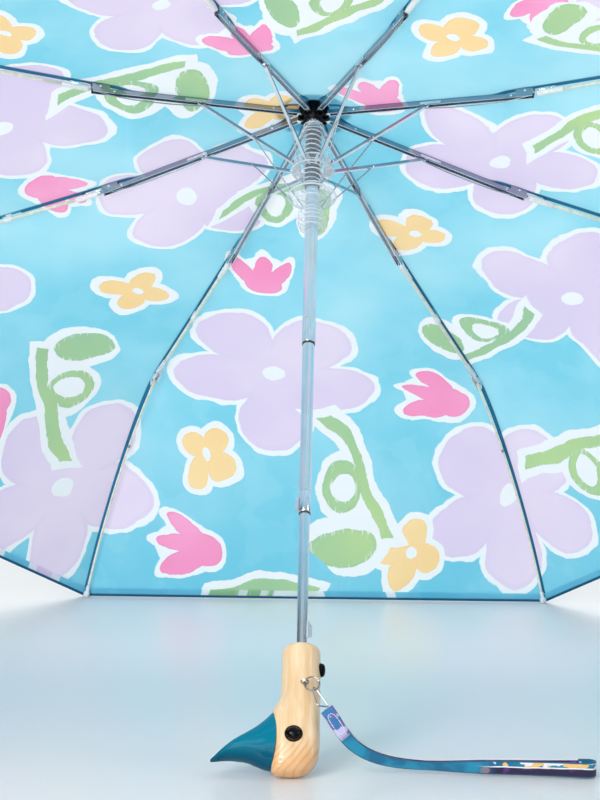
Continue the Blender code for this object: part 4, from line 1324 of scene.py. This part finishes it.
def surroundings():
    """A bright surround, darker to both sides."""
    world = bpy.data.worlds.new("studio")
    world.use_nodes = True
    tree = world.node_tree
    background = tree.nodes["Background"]
    place, axes, aside, shade = (
        tree.nodes.new("ShaderNode" + kind) for kind in ("TexCoord", "SeparateXYZ", "Math", "ValToRGB")
    )
    aside.operation = "ABSOLUTE"
    stops = zip(shade.color_ramp.elements, (0.42, 0.72), (SURROUND, SURROUND_SIDE))
    for stop, position, colour in stops:
        stop.position, stop.color = position, colour
    tree.links.new(place.outputs["Generated"], axes.inputs[0])
    for first, second in ((axes, aside), (aside, shade), (shade, background)):
        tree.links.new(first.outputs[0], second.inputs[0])
    background.inputs[1].default_value = 0.60
    bpy.context.scene.world = world


def studio():
    bpy.context.scene.view_settings.view_transform = "Standard"
    floor()
    surroundings()
    lights()


def node_looks(frame, looks):
    """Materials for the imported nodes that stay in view."""
    kinds = {
        "steel": ("inner_rib", "stretcher"), "black": ("top_notch", "push_button"),
        "cap": ("top_cap",), "tube": ("upper_tube", "middle_tube", "lower_tube"),
        "clear": ("runner", "lower_collar"), "coil": ("runner_spring",),
        "bright": ("upper_catch", "lower_catch"), "eye": ("eye_front", "eye_back"),
        "ring": ("screw_eye", "strap_ring", "strap_link"),
    }
    look_of = {node: kind for kind, nodes in kinds.items() for node in nodes}
    for name, node in frame["nodes"].items():
        kind = look_of.get(name) or look_of.get(name.rstrip("_12345678"))
        if kind:
            node.data.materials.clear()
            node.data.materials.append(looks[kind])


def make_looks():
    return {
        "fabric": fabric_look(),
        "seam": seam_look(),
        # The last colour is painted shade for the side faces of the ribs and stretchers.
        "steel": metal_look("rib_steel", (244, 247, 250), 0.22, (6, 6, 6), 0.9, (158, 166, 180)),
        "bright": metal_look("bright_steel", (236, 239, 242), 0.18),
        "wire": metal_look("wire_steel", (170, 176, 184), 0.30),
        "ring": metal_look("ring_steel", (186, 184, 182), 0.10),
        "tube": metal_look("tube_steel", (226, 234, 240), 0.16, (1, 1, 8), 0.94),
        "coil": metal_look("coil_steel", (240, 244, 248), 0.12),
        "black": plastic_look("black_plastic", (3, 3, 4), (8, 8, 9), 0.3, Specular_IOR_Level=0.1),
        "cap": plastic_look("cap_plastic", (0, 96, 134), (8, 110, 148), 0.35),
        "white": plastic_look("white_sleeve", (236, 236, 232), (224, 226, 224), 0.45),
        "dark": plastic_look("dark_pin", (44, 40, 40), (70, 66, 64), 0.4),
        "rod": plastic_look("fibreglass", (232, 230, 214), (214, 214, 198), 0.35, 240.0),
        "frosted": plastic_look(
            "frosted_plastic", (240, 245, 248), (226, 236, 242), 0.3, 300.0, Transmission_Weight=0.2
        ),
        "clear": clear_look("clear_plastic", (214, 226, 236), 0.08, 0.14),
        "lip": clear_look("clear_edge", (244, 249, 252), 0.12, 0.5),
        # Painted shade for the sleeve under the runner's coil.
        "coil_shade": metal_look("painted_shade_sleeve", (36, 46, 60), 0.35),
        "eye": plastic_look("eye_gloss", (4, 3, 3), (8, 5, 4), 0.06, 300.0, IOR=1.3),
        "eye_rim": plastic_look("eye_rim", (24, 14, 10), (44, 28, 20), 0.3, 900.0, IOR=1.25),
        "wood": wood_look(),
        "beak": beak_look(),
        "strap": strap_look(),
        "tab": tab_look(),
        "stitch": plastic_look("white_thread", (240, 242, 246), (206, 214, 226), 0.8, 2500.0),
        "thread": plastic_look("teal_thread", (10, 96, 134), (40, 126, 160), 0.8, 2500.0),
    }


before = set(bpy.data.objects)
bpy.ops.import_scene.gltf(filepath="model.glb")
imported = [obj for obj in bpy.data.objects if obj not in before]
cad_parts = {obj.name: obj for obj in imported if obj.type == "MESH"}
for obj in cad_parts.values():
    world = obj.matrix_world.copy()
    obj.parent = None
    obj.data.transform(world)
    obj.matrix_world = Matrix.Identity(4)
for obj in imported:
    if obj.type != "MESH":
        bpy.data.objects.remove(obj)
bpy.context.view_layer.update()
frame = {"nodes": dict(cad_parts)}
camera()
looks = make_looks()
strap(looks)
canopy(looks)
inner_details(looks)
middle_details(looks)
outer_details(looks)
stretcher_details(looks)
runner_details(looks)
shaft_details(looks)
handle_wood(looks)
handle_beak(looks)
eye_rings(looks)
node_looks(frame, looks)
studio()
